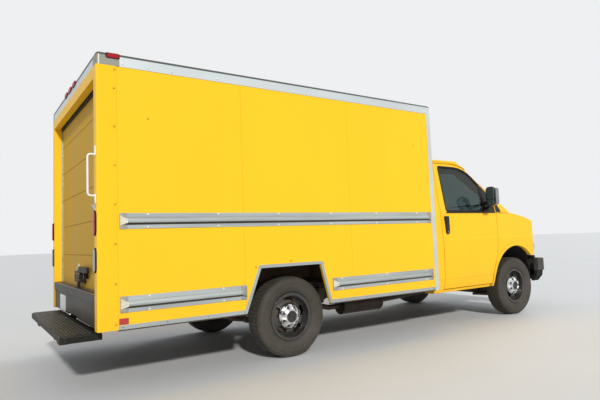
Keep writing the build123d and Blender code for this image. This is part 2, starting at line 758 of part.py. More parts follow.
with BuildPart() as cab_floor:
    with BuildSketch(Plane.XZ):
        with BuildLine():
            upper = from_axle(FLOOR_STEPS)
            lower = from_axle((
                (FIREWALL_X + FIREWALL_T, 1290),
                (FIREWALL_X + FIREWALL_T, ARCH_STEP[1] - FIREWALL_T),
                (ARCH_STEP[0] + FIREWALL_T, ARCH_STEP[1] - FIREWALL_T),
                (ARCH_STEP[0] + FIREWALL_T, CAB_FLOOR_Z),
                (FLOOR_BACK, CAB_FLOOR_Z),
            ))
            Polyline(*upper, *lower, close=True)
        make_face()
    extrude(amount=FLOOR_HALF, both=True)
    block((FA - 620, FA - 140), (-TUNNEL_HALF, TUNNEL_HALF), (CAB_FLOOR_Z, TUNNEL_TOP))
    block(
        (FA - 600, FA - 100), (20 - TUNNEL_HALF, TUNNEL_HALF - 20), (CAB_FLOOR_Z - 50, TUNNEL_TOP - 20),
        Mode.SUBTRACT,
    )
    both_sides(865, 890, (FA - 1500, FA - 490), (ROCKER_Z + SHELL_T, CAB_FLOOR_Z))
    for mount_x in (FA - 1400, FA - 700):
        both_sides(FRAME_Y - 25, FRAME_Y + 25, (mount_x - 40, mount_x + 40), (RAIL_TOP_AT_CAB, CAB_FLOOR_Z))
export(cab_floor, "cab_floor")

DASH_OUTLINE = from_axle((
    (FIREWALL_X, 1015), (FIREWALL_X, 1300), (-300, 1318), (-470, 1290), (-505, 1215), (-440, 1120),
    (-400, 1015),
))
COLUMN_TILT = 32.0
STEER_CENTRE = Vector(FA - 640, 400, 1205)
STEER_R = 195.0
STEER_TUBE_R = 15.0
HUB_BACK = 34.0
column_dir = Vector(-cos(radians(COLUMN_TILT)), 0, sin(radians(COLUMN_TILT)))

with BuildPart() as dashboard:
    with BuildSketch(Plane.XZ) as dash_section:
        with BuildLine():
            Polyline(*DASH_OUTLINE, close=True)
        make_face()
        fillet(dash_section.vertices().sort_by(Axis.X)[:5], 12)
    extrude(amount=880, both=True)
    with Locations(Plane(origin=STEER_CENTRE - column_dir * (HUB_BACK + 101), z_dir=column_dir)):
        Cylinder(28, 200)
export(dashboard, "dashboard")

with BuildPart() as steering_wheel:
    wheel = Plane(origin=STEER_CENTRE, x_dir=(0, 1, 0), z_dir=column_dir)
    with BuildSketch(wheel) as ring:
        Circle(STEER_R)
        Circle(STEER_R - 2 * STEER_TUBE_R, mode=Mode.SUBTRACT)
    extrude(ring.sketch, amount=STEER_TUBE_R, both=True)
    chamfer(steering_wheel.edges(), 0.55 * STEER_TUBE_R)
    with Locations(wheel.offset(22 - HUB_BACK)):
        Cylinder(62, 44)
    with BuildSketch(wheel.offset(-16)) as spokes:
        Rectangle(2 * STEER_R - 3 * STEER_TUBE_R, 40)
        with Locations((0, STEER_R / 2 - STEER_TUBE_R)):
            Rectangle(36, STEER_R - STEER_TUBE_R)
    extrude(spokes.sketch, amount=18)
export(steering_wheel, "steering_wheel")

SEATS_Y = 420.0
SEAT_OUTLINE = from_axle((
    (-1340, 700), (-870, 700), (-830, 800), (-840, 935), (-1290, 905), (-1385, 1480), (-1470, 1480),
    (-1420, 900),
))
with BuildPart() as seats:
    for side_name, side in SIDES:
        with BuildSketch(side_plane(side * (SEATS_Y - 250))) as seat:
            with BuildLine():
                Polyline(*SEAT_OUTLINE, close=True)
            make_face()
            fillet(seat.vertices(), 24)
        extrude(seat.sketch, amount=-side * 500)
        block(
            (FA - 1330, FA - 900), sorted((side * (SEATS_Y - 200), side * (SEATS_Y + 200))),
            (CAB_FLOOR_Z + FLOOR_T_CAB, 702),
        )
        with Locations((FA - 1440, side * SEATS_Y, 1600)):
            Box(90, 250, 170)
        block((FA - 1450, FA - 1425), sorted((side * (SEATS_Y - 60), side * (SEATS_Y + 60))), (1470, 1530))
export(seats, "seats")

LINER_Y = (560.0, 940.0)
LINER_WALL = 8.0
RADIATOR_X = (FA + 520, FA + 575)
RAIL_TOP_AT_NOSE = RAIL_PATH[-1][1] + RAIL_H
with BuildPart() as engine_bay:
    both_sides(
        LINER_Y[0] - LINER_WALL, LINER_Y[0], (FA + ARCH_STEP[0] + FIREWALL_T, ARCH_X + ARCH_R - 5), (620, 940)
    )
    for side_name, side in SIDES:
        middle, width = side * sum(LINER_Y) / 2, LINER_Y[1] - LINER_Y[0]
        across(ARCH_X, middle, ARCH_Z, ARCH_R + LINER_WALL, width)
        across(ARCH_X, middle, ARCH_Z, ARCH_R + 1, width + 2, Mode.SUBTRACT)
    block((FA - 500, FA + 500), (-1000, 1000), (-100, ARCH_Z), Mode.SUBTRACT)
    block((FA - 500, FA + 500), (LINER_WALL - LINER_Y[0], LINER_Y[0] - LINER_WALL), (300, 1000), Mode.SUBTRACT)
    both_sides(905, 1000, (FA - 500, FA + 520), (300, 720), Mode.SUBTRACT)
    block(RADIATOR_X, (-600, 600), (RAIL_TOP_AT_NOSE, 1120))
    both_sides(545, 600, (FA + 455, RADIATOR_X[1]), (850, 935))
    both_sides(920, 1000, (FA - 60, FA + 60), (ARCH_Z + ARCH_R + 1, ARCH_Z + ARCH_R + 14))
    both_sides(570, 600, (RADIATOR_X[1], NOSE_X - 60), (960, 1000))
    add(lamp_skin, mode=Mode.SUBTRACT)
    both_sides(535, 555, (RADIATOR_X[1], NOSE_X), (860, 890))
    add(shell_skin, mode=Mode.SUBTRACT)
export(engine_bay, "engine_bay")

BUMPER_Z = (395.0, 540.0, 700.0)
BUMPER_WRAP_X = FA + 505
BUMPER_LAYERS = (
    # inset, top, depth, taper, mode: the pad, the valance below it and its tucked-in foot, and the
    # room behind them
    (0, BUMPER_Z[2], 160, 0, Mode.ADD),
    (16, BUMPER_Z[1], 75, 8, Mode.ADD),
    (26.5, BUMPER_Z[1] - 75, 70, 38, Mode.ADD),
    (60, BUMPER_Z[2], 235, 0, Mode.SUBTRACT),
    (110, BUMPER_Z[2], 305, 0, Mode.SUBTRACT),
)
with BuildPart() as front_bumper:
    for inset, top, depth, taper, mode in BUMPER_LAYERS:
        with BuildSketch(Plane.XY.offset(top)) as bumper_plan:
            with BuildLine():
                corner_x, corner_y = FA + FRONT_OVERHANG - 47, 740
                Polyline(
                    (corner_x, corner_y), (corner_x, 1000), (FA + 300, 1000), (FA + 300, -1000),
                    (corner_x, -1000), (corner_x, -corner_y),
                )
                ThreePointArc((corner_x, -corner_y), (FA + FRONT_OVERHANG, 0), (corner_x, corner_y))
            make_face()
            fillet(bumper_plan.vertices().group_by(Axis.X)[-1], 230)
            if inset:
                offset(amount=-inset, kind=Kind.INTERSECTION)
        extrude(bumper_plan.sketch, amount=-depth, taper=taper, mode=mode)
    block((FA + 200, BUMPER_WRAP_X), (-FAR_Y, FAR_Y), (300, 800), Mode.SUBTRACT)
    block((FA + 700, FA + 900), (-350, 350), (430, 500), Mode.SUBTRACT)
    both_sides(
        FRAME_Y - 30, FRAME_Y + 30, (RAIL_PATH[-1][0], FA + 815),
        (RAIL_PATH[-1][1] + 30, RAIL_TOP_AT_NOSE - 20),
    )
export(front_bumper, "front_bumper")

MIRROR_CENTRE = (FA - 600, 1142, 1537)
ARM_FOOT_Y = 940.0
with BuildPart() as mirror_housing:
    with Locations((0, 0, 0)):
        Box(100, 132, 232)
    fillet(mirror_housing.edges().filter_by(Axis.X), 44)
    fillet(mirror_housing.faces().sort_by(Axis.X)[-1].edges(), 30)

PULL_CENTRE = (FA - 1318, 994, 1194)
with BuildPart() as door_pull:
    with Locations((0, 0, 0)):
        Box(50, 48, 212)
    fillet(door_pull.edges().filter_by(Axis.Y), 22)

for door_name, side in SIDES:
    with BuildPart() as door_fittings:
        with Locations((MIRROR_CENTRE[0], side * MIRROR_CENTRE[1], MIRROR_CENTRE[2])):
            add(mirror_housing.part)
        for low, high in ((1385, 1415), (1450, 1480)):
            with BuildSketch(Plane.XY.offset(low)) as arm:
                with BuildLine():
                    Polyline(
                        (FA - 410, side * ARM_FOOT_Y), (FA - 570, side * 1098), (FA - 630, side * 1098),
                        (FA - 520, side * ARM_FOOT_Y), close=True,
                    )
                make_face()
            extrude(arm.sketch, amount=high - low)
        block((FA - 620, FA - 580), sorted((side * 1078, side * 1098)), (1385, 1470))
        with Locations((PULL_CENTRE[0], side * PULL_CENTRE[1], PULL_CENTRE[2])):
            add(door_pull.part)
        add(shell_skin, mode=Mode.SUBTRACT)
        block((FA - 700, FA - 300), sorted((side * 800, side * (ARM_FOOT_Y + 18))), (1350, 1500), Mode.SUBTRACT)
    export(door_fittings, f"door_fittings_{door_name}")


# Cargo box: floor, walls and roof, each its own panel inside a frame of rails

FRAME_FLOOR_X = (BOX_REAR + POST_D, BOX_FRONT - FRONT_WALL_T)
HOUSE_X = (RA - 500, RA + 400)
HOUSE_IN = TYRE_OUT_Y - TYRE_W - 41
HOUSE_TOP = 2 * TYRE_R + 124
HOUSE_T = 20.0
OPENING_TOP = HOUSE_TOP - HOUSE_T
WHEEL_OPENING = [
    # rear foot, rear top, front top, front foot: x from the rear axle, z
    (RA - 522, WALL_BOTTOM),
    (RA - 366, OPENING_TOP),
    (RA + 288, OPENING_TOP),
    (RA + 390, WALL_BOTTOM),
]
BELOW_WALL = (RA, WALL_BOTTOM - 100)
CROSS_SILL_PITCH = 305.0
CROSS_SILL_Z = (RAIL_PATH[0][1] + RAIL_H, FLOOR_TOP - FLOOR_T)
EDGE_R = 28.0
ROOF_HALF = BOX_HALF - EDGE_R - RAIL_PROUD
ROOF_FRONT = BOX_FRONT - 60
CORNER_W = 75.0
HEADER_T = 60.0

with BuildPart() as box_floor:
    block(FRAME_FLOOR_X, (-WALL_IN, WALL_IN), (FLOOR_TOP - FLOOR_T, FLOOR_TOP))
    sill_count = int((FRAME_FLOOR_X[1] - FRAME_FLOOR_X[0]) // CROSS_SILL_PITCH)
    for index in range(sill_count + 1):
        x = FRAME_FLOOR_X[0] + 30 + index * CROSS_SILL_PITCH
        block((x - 22, x + 22), (-WALL_IN, WALL_IN), CROSS_SILL_Z)
    both_sides(HOUSE_IN, WALL_IN, HOUSE_X, (FLOOR_TOP - FLOOR_T, HOUSE_TOP))
    both_sides(
        HOUSE_IN + HOUSE_T, WALL_IN + 1, (HOUSE_X[0] + HOUSE_T, HOUSE_X[1] - HOUSE_T),
        (400, OPENING_TOP), Mode.SUBTRACT,
    )
export(box_floor, "box_floor")

for side_name, side in SIDES:
    with BuildPart() as box_side:
        block(
            FRAME_FLOOR_X,
            sorted((side * WALL_IN, side * WALL_OUT)),
            (WALL_BOTTOM, BOX_TOP - ROOF_T),
        )
        side_prism(WHEEL_OPENING + [BELOW_WALL], WALL_IN - 20, WALL_OUT + 20, side, Mode.SUBTRACT)
    export(box_side, f"box_side_{side_name}")

with BuildPart() as box_front_wall:
    block(
        (BOX_FRONT - FRONT_WALL_T, BOX_FRONT - RAIL_PROUD), (-WALL_IN, WALL_IN),
        (FLOOR_TOP - FLOOR_T, BOX_TOP - ROOF_T),
    )
export(box_front_wall, "box_front_wall")

with BuildPart() as box_roof:
    block((BOX_REAR + POST_D, ROOF_FRONT), (-ROOF_HALF, ROOF_HALF), (BOX_TOP - ROOF_T, BOX_TOP - RAIL_PROUD))
export(box_roof, "box_roof")

# The rails start as the box's whole outer form with rounded corners, so that top rails, corner
# castings and front corner posts run into each other; the panels' room is then cut out
with BuildPart() as upper_rails:
    block((BOX_REAR, BOX_FRONT), (-BOX_HALF, BOX_HALF), (WALL_BOTTOM, BOX_TOP))
    fillet(upper_rails.edges().filter_by(Axis.Z) + upper_rails.edges().group_by(Axis.Z)[-1], EDGE_R)
    below = (WALL_BOTTOM - 1, RAIL_FOOT)
    inside = (WALL_BOTTOM - 1, BOX_TOP - ROOF_T)
    block((BOX_REAR - 1, BOX_FRONT - CORNER_W), (-BOX_HALF - 1, BOX_HALF + 1), below, Mode.SUBTRACT)
    block(
        (BOX_FRONT - RAIL_PROUD, BOX_FRONT + 1), (CORNER_W - BOX_HALF, BOX_HALF - CORNER_W), below,
        Mode.SUBTRACT,
    )
    block(FRAME_FLOOR_X, (-WALL_OUT, WALL_OUT), inside, Mode.SUBTRACT)
    block((BOX_REAR + HEADER_T, BOX_REAR + POST_D + 1), (-POST_IN, POST_IN), inside, Mode.SUBTRACT)
    block(
        (BOX_FRONT - FRONT_WALL_T - 1, BOX_FRONT - RAIL_PROUD), (-WALL_IN, WALL_IN), inside, Mode.SUBTRACT,
    )
    block(
        (BOX_REAR + POST_D, ROOF_FRONT), (-ROOF_HALF, ROOF_HALF), (BOX_TOP - ROOF_T - 1, BOX_TOP + 1),
        Mode.SUBTRACT,
    )
export(upper_rails, "upper_rails")

TRIM_W = 28.0
BOTTOM_RAIL = (WALL_BOTTOM + 10, WALL_BOTTOM + 42)
with BuildPart() as bottom_rails:
    both_sides(WALL_OUT, BOX_HALF, (BOX_REAR + POST_D, BOX_FRONT - CORNER_W), BOTTOM_RAIL)
    for side_name, side in SIDES:
        side_prism(WHEEL_OPENING, WALL_OUT, BOX_HALF, side, Mode.ADD, grow=TRIM_W)
        side_prism(WHEEL_OPENING + [BELOW_WALL], WALL_IN, BOX_HALF + 20, side, Mode.SUBTRACT)
    block((BOX_REAR, BOX_FRONT), (-1.1 * BOX_HALF, 1.1 * BOX_HALF), (300, BOTTOM_RAIL[0]), Mode.SUBTRACT)
export(bottom_rails, "bottom_rails")

RUB_H = 121.0
RUB_OUT = 30.0
RUB_FLANGE = 5.0
RUB_HALF_BULGE = 28.0
RUB_TAPER = 45.0
RUB_RAILS = (
    # rear end, front end, lower edge z
    (BOX_REAR + POST_D + 13, BOX_FRONT - CORNER_W - 18, FLOOR_TOP + 486),
    (BOX_REAR + POST_D + 13, WHEEL_OPENING[0][0] + 6, FLOOR_TOP - 145),
    (WHEEL_OPENING[3][0] + 34, BOX_FRONT - CORNER_W - 27, FLOOR_TOP - 153),
)
with BuildPart() as rub_rails:
    for side_name, side in SIDES:
        base, flange, crest = (side * (WALL_OUT + out) for out in (0, RUB_FLANGE, RUB_OUT))
        for rear, front, low in RUB_RAILS:
            middle = low + RUB_H / 2
            with BuildSketch(cross_plane(rear)) as rail_section:
                with BuildLine():
                    Polyline(
                        (flange, middle - RUB_HALF_BULGE), (flange, low), (base, low),
                        (base, low + RUB_H), (flange, low + RUB_H), (flange, middle + RUB_HALF_BULGE),
                    )
                    ThreePointArc(
                        (flange, middle + RUB_HALF_BULGE), (crest, middle), (flange, middle - RUB_HALF_BULGE)
                    )
                make_face()
            extrude(rail_section.sketch, amount=front - rear)
            for end, inward in ((rear, 1), (front, -1)):
                with BuildSketch(Plane.XY.offset(low - 1)) as taper:
                    with BuildLine():
                        Polyline(
                            (end - inward, flange), (end + inward * RUB_TAPER, crest + side),
                            (end - inward, crest + side), close=True,
                        )
                    make_face()
                extrude(taper.sketch, amount=RUB_H + 2, mode=Mode.SUBTRACT)
export(rub_rails, "rub_rails")


# Steel rear frame: two posts, a header and a sill round the door opening

DOOR_REAR_X = BOX_REAR + 85
DOOR_T = 20.0
SILL_LIP_H = 70.0
SILL_SET_BACK = 14.0
NOTCH_HALF = 222.0
PLATE_Y = 532.0
PLATE_HOLES = (-89.0, 89.0)
PLATE_HOLE_R = 3.5
with BuildPart() as rear_frame:
    both_sides(POST_IN, BOX_HALF, (BOX_REAR, BOX_REAR + POST_D), (WALL_BOTTOM + 10, RAIL_FOOT))
    outer_corners = rear_frame.edges().filter_by(Axis.Z).group_by(Axis.X)[0].sort_by(Axis.Y)
    fillet([outer_corners[0], outer_corners[-1]], 12)
    block((BOX_REAR, BOX_REAR + HEADER_T), (-POST_IN, POST_IN), (HEADER_BOTTOM, RAIL_FOOT))
    block((BOX_REAR, BOX_REAR + SILL_D), (-POST_IN, POST_IN), (SILL_BOTTOM, FLOOR_TOP))
    block((BOX_REAR + SILL_D, BOX_REAR + POST_D), (-POST_IN, POST_IN), (FLOOR_TOP - FLOOR_T, FLOOR_TOP))
    block(
        (BOX_REAR - 1, BOX_REAR + SILL_SET_BACK), (-POST_IN, POST_IN),
        (SILL_BOTTOM - 1, FLOOR_TOP - SILL_LIP_H), Mode.SUBTRACT,
    )
    block(
        (BOX_REAR, BOX_REAR + SILL_D + 1), (-NOTCH_HALF, NOTCH_HALF),
        (SILL_BOTTOM - 1, SILL_BOTTOM + 18), Mode.SUBTRACT,
    )
    both_sides(
        FRAME_Y - RAIL_W / 2, RAIL_OUT, (BOX_REAR + SILL_D, BOX_REAR + POST_D), CROSS_SILL_Z,
    )
    with Locations(*[
        Plane(origin=(BOX_REAR + 20, PLATE_Y + offset_y, FLOOR_TOP - 118), z_dir=(-1, 0, 0))
        for offset_y in PLATE_HOLES
    ]):
        Cylinder(PLATE_HOLE_R, 40, mode=Mode.SUBTRACT)
export(rear_frame, "rear_frame")

# Roll-up door: a stack of panels whose rollers run in a track that bends under the roof
DOOR_PANELS = 6
DOOR_HALF = POST_IN - 30
DOOR_TOP = RAIL_FOOT - 25
TRACK_W = 24.0
TRACK_T = 46.0
TRACK_BEND_R = 280.0
TRACK_HIGH_Z = DOOR_TOP + 10
TRACK_X = DOOR_REAR_X + DOOR_T / 2
ROLLER_R = 9.0
with BuildPart() as roll_up_door:
    block((DOOR_REAR_X, DOOR_REAR_X + DOOR_T), (-DOOR_HALF, DOOR_HALF), (FLOOR_TOP, DOOR_TOP))
    pitch = (DOOR_TOP - FLOOR_TOP) / DOOR_PANELS
    for row in range(1, DOOR_PANELS):
        z = FLOOR_TOP + row * pitch
        block(
            (DOOR_REAR_X - 1, DOOR_REAR_X + 5), (-DOOR_HALF - 1, DOOR_HALF + 1), (z - 3, z + 3),
            Mode.SUBTRACT,
        )
        for side_name, side in SIDES:
            across(
                TRACK_X, side * (DOOR_HALF + POST_IN - 12) / 2, z, ROLLER_R, POST_IN - 12 - DOOR_HALF,
            )
export(roll_up_door, "roll_up_door")

SPRING_SHAFT = (BOX_REAR + POST_D + 70, BOX_TOP - ROOF_T - 40)
with BuildPart() as door_tracks:
    for side_name, side in SIDES:
        with BuildSketch(side_plane(side * (POST_IN - TRACK_W))):
            with BuildLine():
                bend_z = TRACK_HIGH_Z - TRACK_BEND_R
                Line((TRACK_X, FLOOR_TOP), (TRACK_X, bend_z))
                CenterArc((TRACK_X + TRACK_BEND_R, bend_z), TRACK_BEND_R, 180, -90)
                Line((TRACK_X + TRACK_BEND_R, TRACK_HIGH_Z), (TRACK_X + 2000, TRACK_HIGH_Z))
            trace(line_width=TRACK_T)
        extrude(amount=-side * TRACK_W)
        block(
            (DOOR_REAR_X - 1, DOOR_REAR_X + DOOR_T + 1),
            sorted((side * (POST_IN - TRACK_W - 1), side * (POST_IN - 10))),
            (FLOOR_TOP - 30, DOOR_TOP + 1),
            Mode.SUBTRACT,
        )
        block(
            (SPRING_SHAFT[0] - 40, SPRING_SHAFT[0] + 40),
            sorted((side * (POST_IN - TRACK_W), side * (POST_IN - TRACK_W + 8))),
            (TRACK_HIGH_Z, SPRING_SHAFT[1] + 35),
        )
    across(SPRING_SHAFT[0], 0, SPRING_SHAFT[1], 12, 2 * (POST_IN - TRACK_W))
    across(SPRING_SHAFT[0], 0, SPRING_SHAFT[1], 30, 900)
    block((BOX_REAR, SPRING_SHAFT[0]), (-POST_IN, POST_IN), (DOOR_TOP - 60, RAIL_FOOT), Mode.SUBTRACT)
export(door_tracks, "door_tracks")

LATCH_Y = -90.0
LATCH_Z = FLOOR_TOP + 95
with BuildPart() as door_latch:
    block((DOOR_REAR_X - 8, DOOR_REAR_X), (LATCH_Y - 150, LATCH_Y + 220), (LATCH_Z - 55, LATCH_Z + 60))
    block((DOOR_REAR_X - 8, DOOR_REAR_X), (LATCH_Y + 150, LATCH_Y + 220), (LATCH_Z + 60, LATCH_Z + 112))
    block((DOOR_REAR_X - 50, DOOR_REAR_X - 8), (LATCH_Y - 110, LATCH_Y + 120), (LATCH_Z - 45, LATCH_Z + 50))
    block((DOOR_REAR_X - 58, DOOR_REAR_X - 34), (LATCH_Y - 70, LATCH_Y - 30), (FLOOR_TOP, LATCH_Z))
    block((DOOR_REAR_X - 48, DOOR_REAR_X - 24), (LATCH_Y - 400, LATCH_Y - 20), (LATCH_Z + 45, LATCH_Z + 92))
    block((DOOR_REAR_X - 40, DOOR_REAR_X), (LATCH_Y - 250, LATCH_Y - 215), (LATCH_Z - 10, LATCH_Z + 45))
export(door_latch, "door_latch")

LAMP_W = 60.0
TAIL_LAMPS = (
    # z of the lower and the upper end of each oval
    (FLOOR_TOP + 169, FLOOR_TOP + 344),
    (FLOOR_TOP + 447, FLOOR_TOP + 624),
)
MARKER_Z = (BOX_TOP - 42, BOX_TOP - 10)
with BuildPart() as tail_lamps:
    for side_name, side in SIDES:
        for low, high in TAIL_LAMPS:
            with BuildSketch(cross_plane(BOX_REAR)) as lens:
                with Locations((side * (BOX_HALF - POST_W / 2), (low + high) / 2)):
                    SlotCenterToCenter(high - low - LAMP_W, LAMP_W, rotation=90)
            extrude(lens.sketch, amount=-14)
        block(
            (BOX_REAR + 81, BOX_REAR + 169), sorted((side * BOX_HALF, side * (BOX_HALF + 9))), MARKER_Z,
        )
    for y in (-198, 0, 198):
        block((BOX_REAR - 11, BOX_REAR), (y - 55, y + 55), MARKER_Z)
export(tail_lamps, "rear_lamps")

HANDLE_Y = 37 - BOX_HALF
HANDLE_Z = (FLOOR_TOP + 708, FLOOR_TOP + 1093)
HANDLE_OUT = 62.0
with BuildPart() as grab_handle:
    with BuildLine() as handle_route:
        FilletPolyline(
            (BOX_REAR, HANDLE_Y, HANDLE_Z[0]),
            (BOX_REAR - HANDLE_OUT, HANDLE_Y, HANDLE_Z[0]),
            (BOX_REAR - HANDLE_OUT, HANDLE_Y, HANDLE_Z[1]),
            (BOX_REAR, HANDLE_Y, HANDLE_Z[1]),
            radius=26,
        )
    with BuildSketch(Plane(origin=handle_route.line @ 0, z_dir=handle_route.line % 0)):
        RegularPolygon(11, 8)
    sweep()
    for z in HANDLE_Z:
        block((BOX_REAR - 8, BOX_REAR), (HANDLE_Y - 22, HANDLE_Y + 22), (z - 30, z + 30))
    with BuildSketch(side_plane(HANDLE_Y)) as bracket:
        with BuildLine():
            foot = HANDLE_Z[0] - 32
            Polyline((BOX_REAR, foot), (BOX_REAR - 31, foot), (BOX_REAR, foot - 50), close=True)
        make_face()
    extrude(bracket.sketch, amount=15, both=True)
export(grab_handle, "grab_handle")

STEP_TOP = 439.0
STEP_T = 45.0
STEP_HALF = BOX_HALF - 117
STEP_REAR = RA - REAR_OVERHANG
STEP_CORNER = (30, 73)
with BuildPart() as step_bumper:
    with BuildSketch(Plane.XY.offset(STEP_TOP - STEP_T)):
        with BuildLine():
            near = (BOX_REAR + 60, STEP_HALF)
            shoulder = (STEP_REAR + STEP_CORNER[0], STEP_HALF)
            corner = (STEP_REAR, STEP_HALF - STEP_CORNER[1])
            Polyline(
                near, shoulder, corner,
                (corner[0], -corner[1]), (shoulder[0], -shoulder[1]), (near[0], -near[1]), close=True,
            )
        make_face()
    extrude(amount=STEP_T)
    block(
        (STEP_REAR + 40, BOX_REAR + 61), (40 - STEP_HALF, STEP_HALF - 40),
        (STEP_TOP - STEP_T - 1, STEP_TOP - 8), Mode.SUBTRACT,
    )
    for side_name, side in SIDES:
        with BuildSketch(side_plane(side * RAIL_OUT)) as bracket:
            with BuildLine():
                Polyline(
                    (STEP_REAR + 20, STEP_TOP - STEP_T - 32), (STEP_REAR + 60, STEP_TOP - STEP_T - 32),
                    (BOX_REAR + 190, STEP_TOP - 40), (BOX_REAR + 190, 600), (BOX_REAR + SILL_D + 2, 600),
                    (BOX_REAR + SILL_D + 2, STEP_TOP - 8), (STEP_REAR + 20, STEP_TOP - 8), close=True,
                )
            make_face()
        extrude(bracket.sketch, amount=-side * 12)
export(step_bumper, "step_bumper")
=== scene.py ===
from math import atan2, cos, pi, radians, sin, tan

import bmesh
import bpy
from mathutils import Matrix, Vector
from mathutils.bvhtree import BVHTree


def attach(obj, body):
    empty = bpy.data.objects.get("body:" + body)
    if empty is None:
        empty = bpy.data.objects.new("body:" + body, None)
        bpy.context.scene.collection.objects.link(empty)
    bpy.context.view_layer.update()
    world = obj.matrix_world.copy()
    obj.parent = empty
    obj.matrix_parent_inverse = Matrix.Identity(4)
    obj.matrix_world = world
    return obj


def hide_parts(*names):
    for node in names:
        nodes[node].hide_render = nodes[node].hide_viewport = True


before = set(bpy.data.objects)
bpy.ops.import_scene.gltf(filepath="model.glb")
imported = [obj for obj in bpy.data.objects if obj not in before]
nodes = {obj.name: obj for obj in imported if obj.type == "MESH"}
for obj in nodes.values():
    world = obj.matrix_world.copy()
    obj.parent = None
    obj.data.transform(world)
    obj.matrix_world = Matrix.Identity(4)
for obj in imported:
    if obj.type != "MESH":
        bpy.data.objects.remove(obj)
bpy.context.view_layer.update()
scene = bpy.context.scene


# Chassis rails and cross sills: two pressed steel channels joined by cross members,
# painted black and dusty from the road.

REAR_AXLE_X = -1.2105
FRONT_AXLE_X = 2.3205
NODE_FAMILIES = ("ShaderNode", "GeometryNode", "FunctionNode", "Node")


def put(tree, kind, feeds=(), **options):
    """Add a node, set its options, and feed its inputs with values, sockets or other nodes."""
    kind = next(family + kind for family in NODE_FAMILIES if hasattr(bpy.types, family + kind))
    node = tree.nodes.new(kind)
    for option, value in options.items():
        setattr(node, option, value)
    for name, value in dict(feeds).items():
        if isinstance(value, bpy.types.Node):
            value = value.outputs[0]
        if isinstance(value, bpy.types.NodeSocket):
            tree.links.new(value, node.inputs[name])
        else:
            node.inputs[name].default_value = value
    return node


def sums(tree, operation, *terms, kind="Math"):
    return put(tree, kind, dict(enumerate(terms)), operation=operation).outputs[0]


def split(tree, vector):
    return put(tree, "SeparateXYZ", {0: vector}).outputs


def object_place(tree):
    return put(tree, "TexCoord").outputs["Object"]


def remap(tree, value, low, high, to_low=0.0, to_high=1.0):
    feeds = {"Value": value, "From Min": low, "From Max": high, "To Min": to_low, "To Max": to_high}
    return put(tree, "MapRange", feeds).outputs["Result"]


def blend_colour(tree, amount, first, second, mode="MIX"):
    node = put(tree, "Mix", {"Factor": amount}, data_type="RGBA", blend_type=mode)
    for socket, colour in ((node.inputs[6], first), (node.inputs[7], second)):
        if isinstance(colour, bpy.types.NodeSocket):
            tree.links.new(colour, socket)
        else:
            socket.default_value = (*colour, 1.0)
    return node.outputs[2]


def noise(tree, where, size, detail=3.0, rough=0.55):
    """A noise whose patches are about this many metres across."""
    scale = sums(tree, "DIVIDE", 1.0, size) if isinstance(size, bpy.types.NodeSocket) else 1.0 / size
    feeds = {"Vector": where, "Scale": scale, "Detail": detail, "Roughness": rough}
    return put(tree, "TexNoise", feeds).outputs["Fac"]


def effect(name, inputs, outputs):
    """A shader node group with named inputs and outputs."""
    tree = bpy.data.node_groups.new(name, "ShaderNodeTree")
    for label, value in inputs.items():
        kind = "NodeSocketVector" if isinstance(value, tuple) else "NodeSocketFloat"
        tree.interface.new_socket(label, in_out="INPUT", socket_type=kind).default_value = value
    for label, kind in outputs.items():
        tree.interface.new_socket(label, in_out="OUTPUT", socket_type=f"NodeSocket{kind}")
    return tree, put(tree, "GroupInput").outputs, put(tree, "GroupOutput").inputs


# Dust thrown up from the road: thick low down and on faces that look up, broken into patches
tree, given, result = effect(
    "Road dust",
    {"Clean above": 1.2, "Thick below": 0.3, "Patch size": 0.18, "On ledges": 0.5, "Amount": 0.5},
    {"Dust": "Float"},
)
dust_effect = tree
place = object_place(tree)
facing = split(tree, put(tree, "NewGeometry").outputs["Normal"])["Z"]
low_down = remap(tree, split(tree, place)["Z"], given["Clean above"], given["Thick below"])
ledge = sums(tree, "MULTIPLY", remap(tree, facing, 0.3, 0.95), given["On ledges"])
patches = remap(tree, noise(tree, place, given["Patch size"], 5.0, 0.62), 0.3, 0.7, 0.25, 1.0)
broken = sums(tree, "MULTIPLY", sums(tree, "MAXIMUM", low_down, ledge), patches)
tree.links.new(sums(tree, "MULTIPLY", broken, given["Amount"]), result["Dust"])

# Edges: the light catches a small round on every edge, and the finish rubs through there first
tree, given, result = effect(
    "Worn edge", {"Edge round": 0.004, "Amount": 0.5}, {"Wear": "Float", "Rounded": "Vector"}
)
edge_effect = tree
rounded = put(tree, "Bevel", {"Radius": given["Edge round"]}, samples=6).outputs["Normal"]
straight = put(tree, "NewGeometry").outputs["Normal"]
turn = put(tree, "VectorMath", {0: rounded, 1: straight}, operation="DOT_PRODUCT").outputs["Value"]
scuffs = remap(tree, noise(tree, object_place(tree), 0.03, 6.0, 0.7), 0.42, 0.66)
rub = sums(tree, "MULTIPLY", remap(tree, turn, 0.995, 0.86), scuffs)
tree.links.new(sums(tree, "MULTIPLY", rub, given["Amount"]), result["Wear"])
tree.links.new(rounded, result["Rounded"])

# Uneven tone: no painted or bare surface is the same shade from end to end
tree, given, result = effect(
    "Uneven tone", {"Stretch": (1.0, 1.0, 1.0), "Patch size": 0.5}, {"Tone": "Float"}
)
tone_effect = tree
place = sums(tree, "MULTIPLY", object_place(tree), given["Stretch"], kind="VectorMath")
broad = noise(tree, place, given["Patch size"], 6.0, 0.6)
tree.links.new(remap(tree, broad, 0.25, 0.75), result["Tone"])

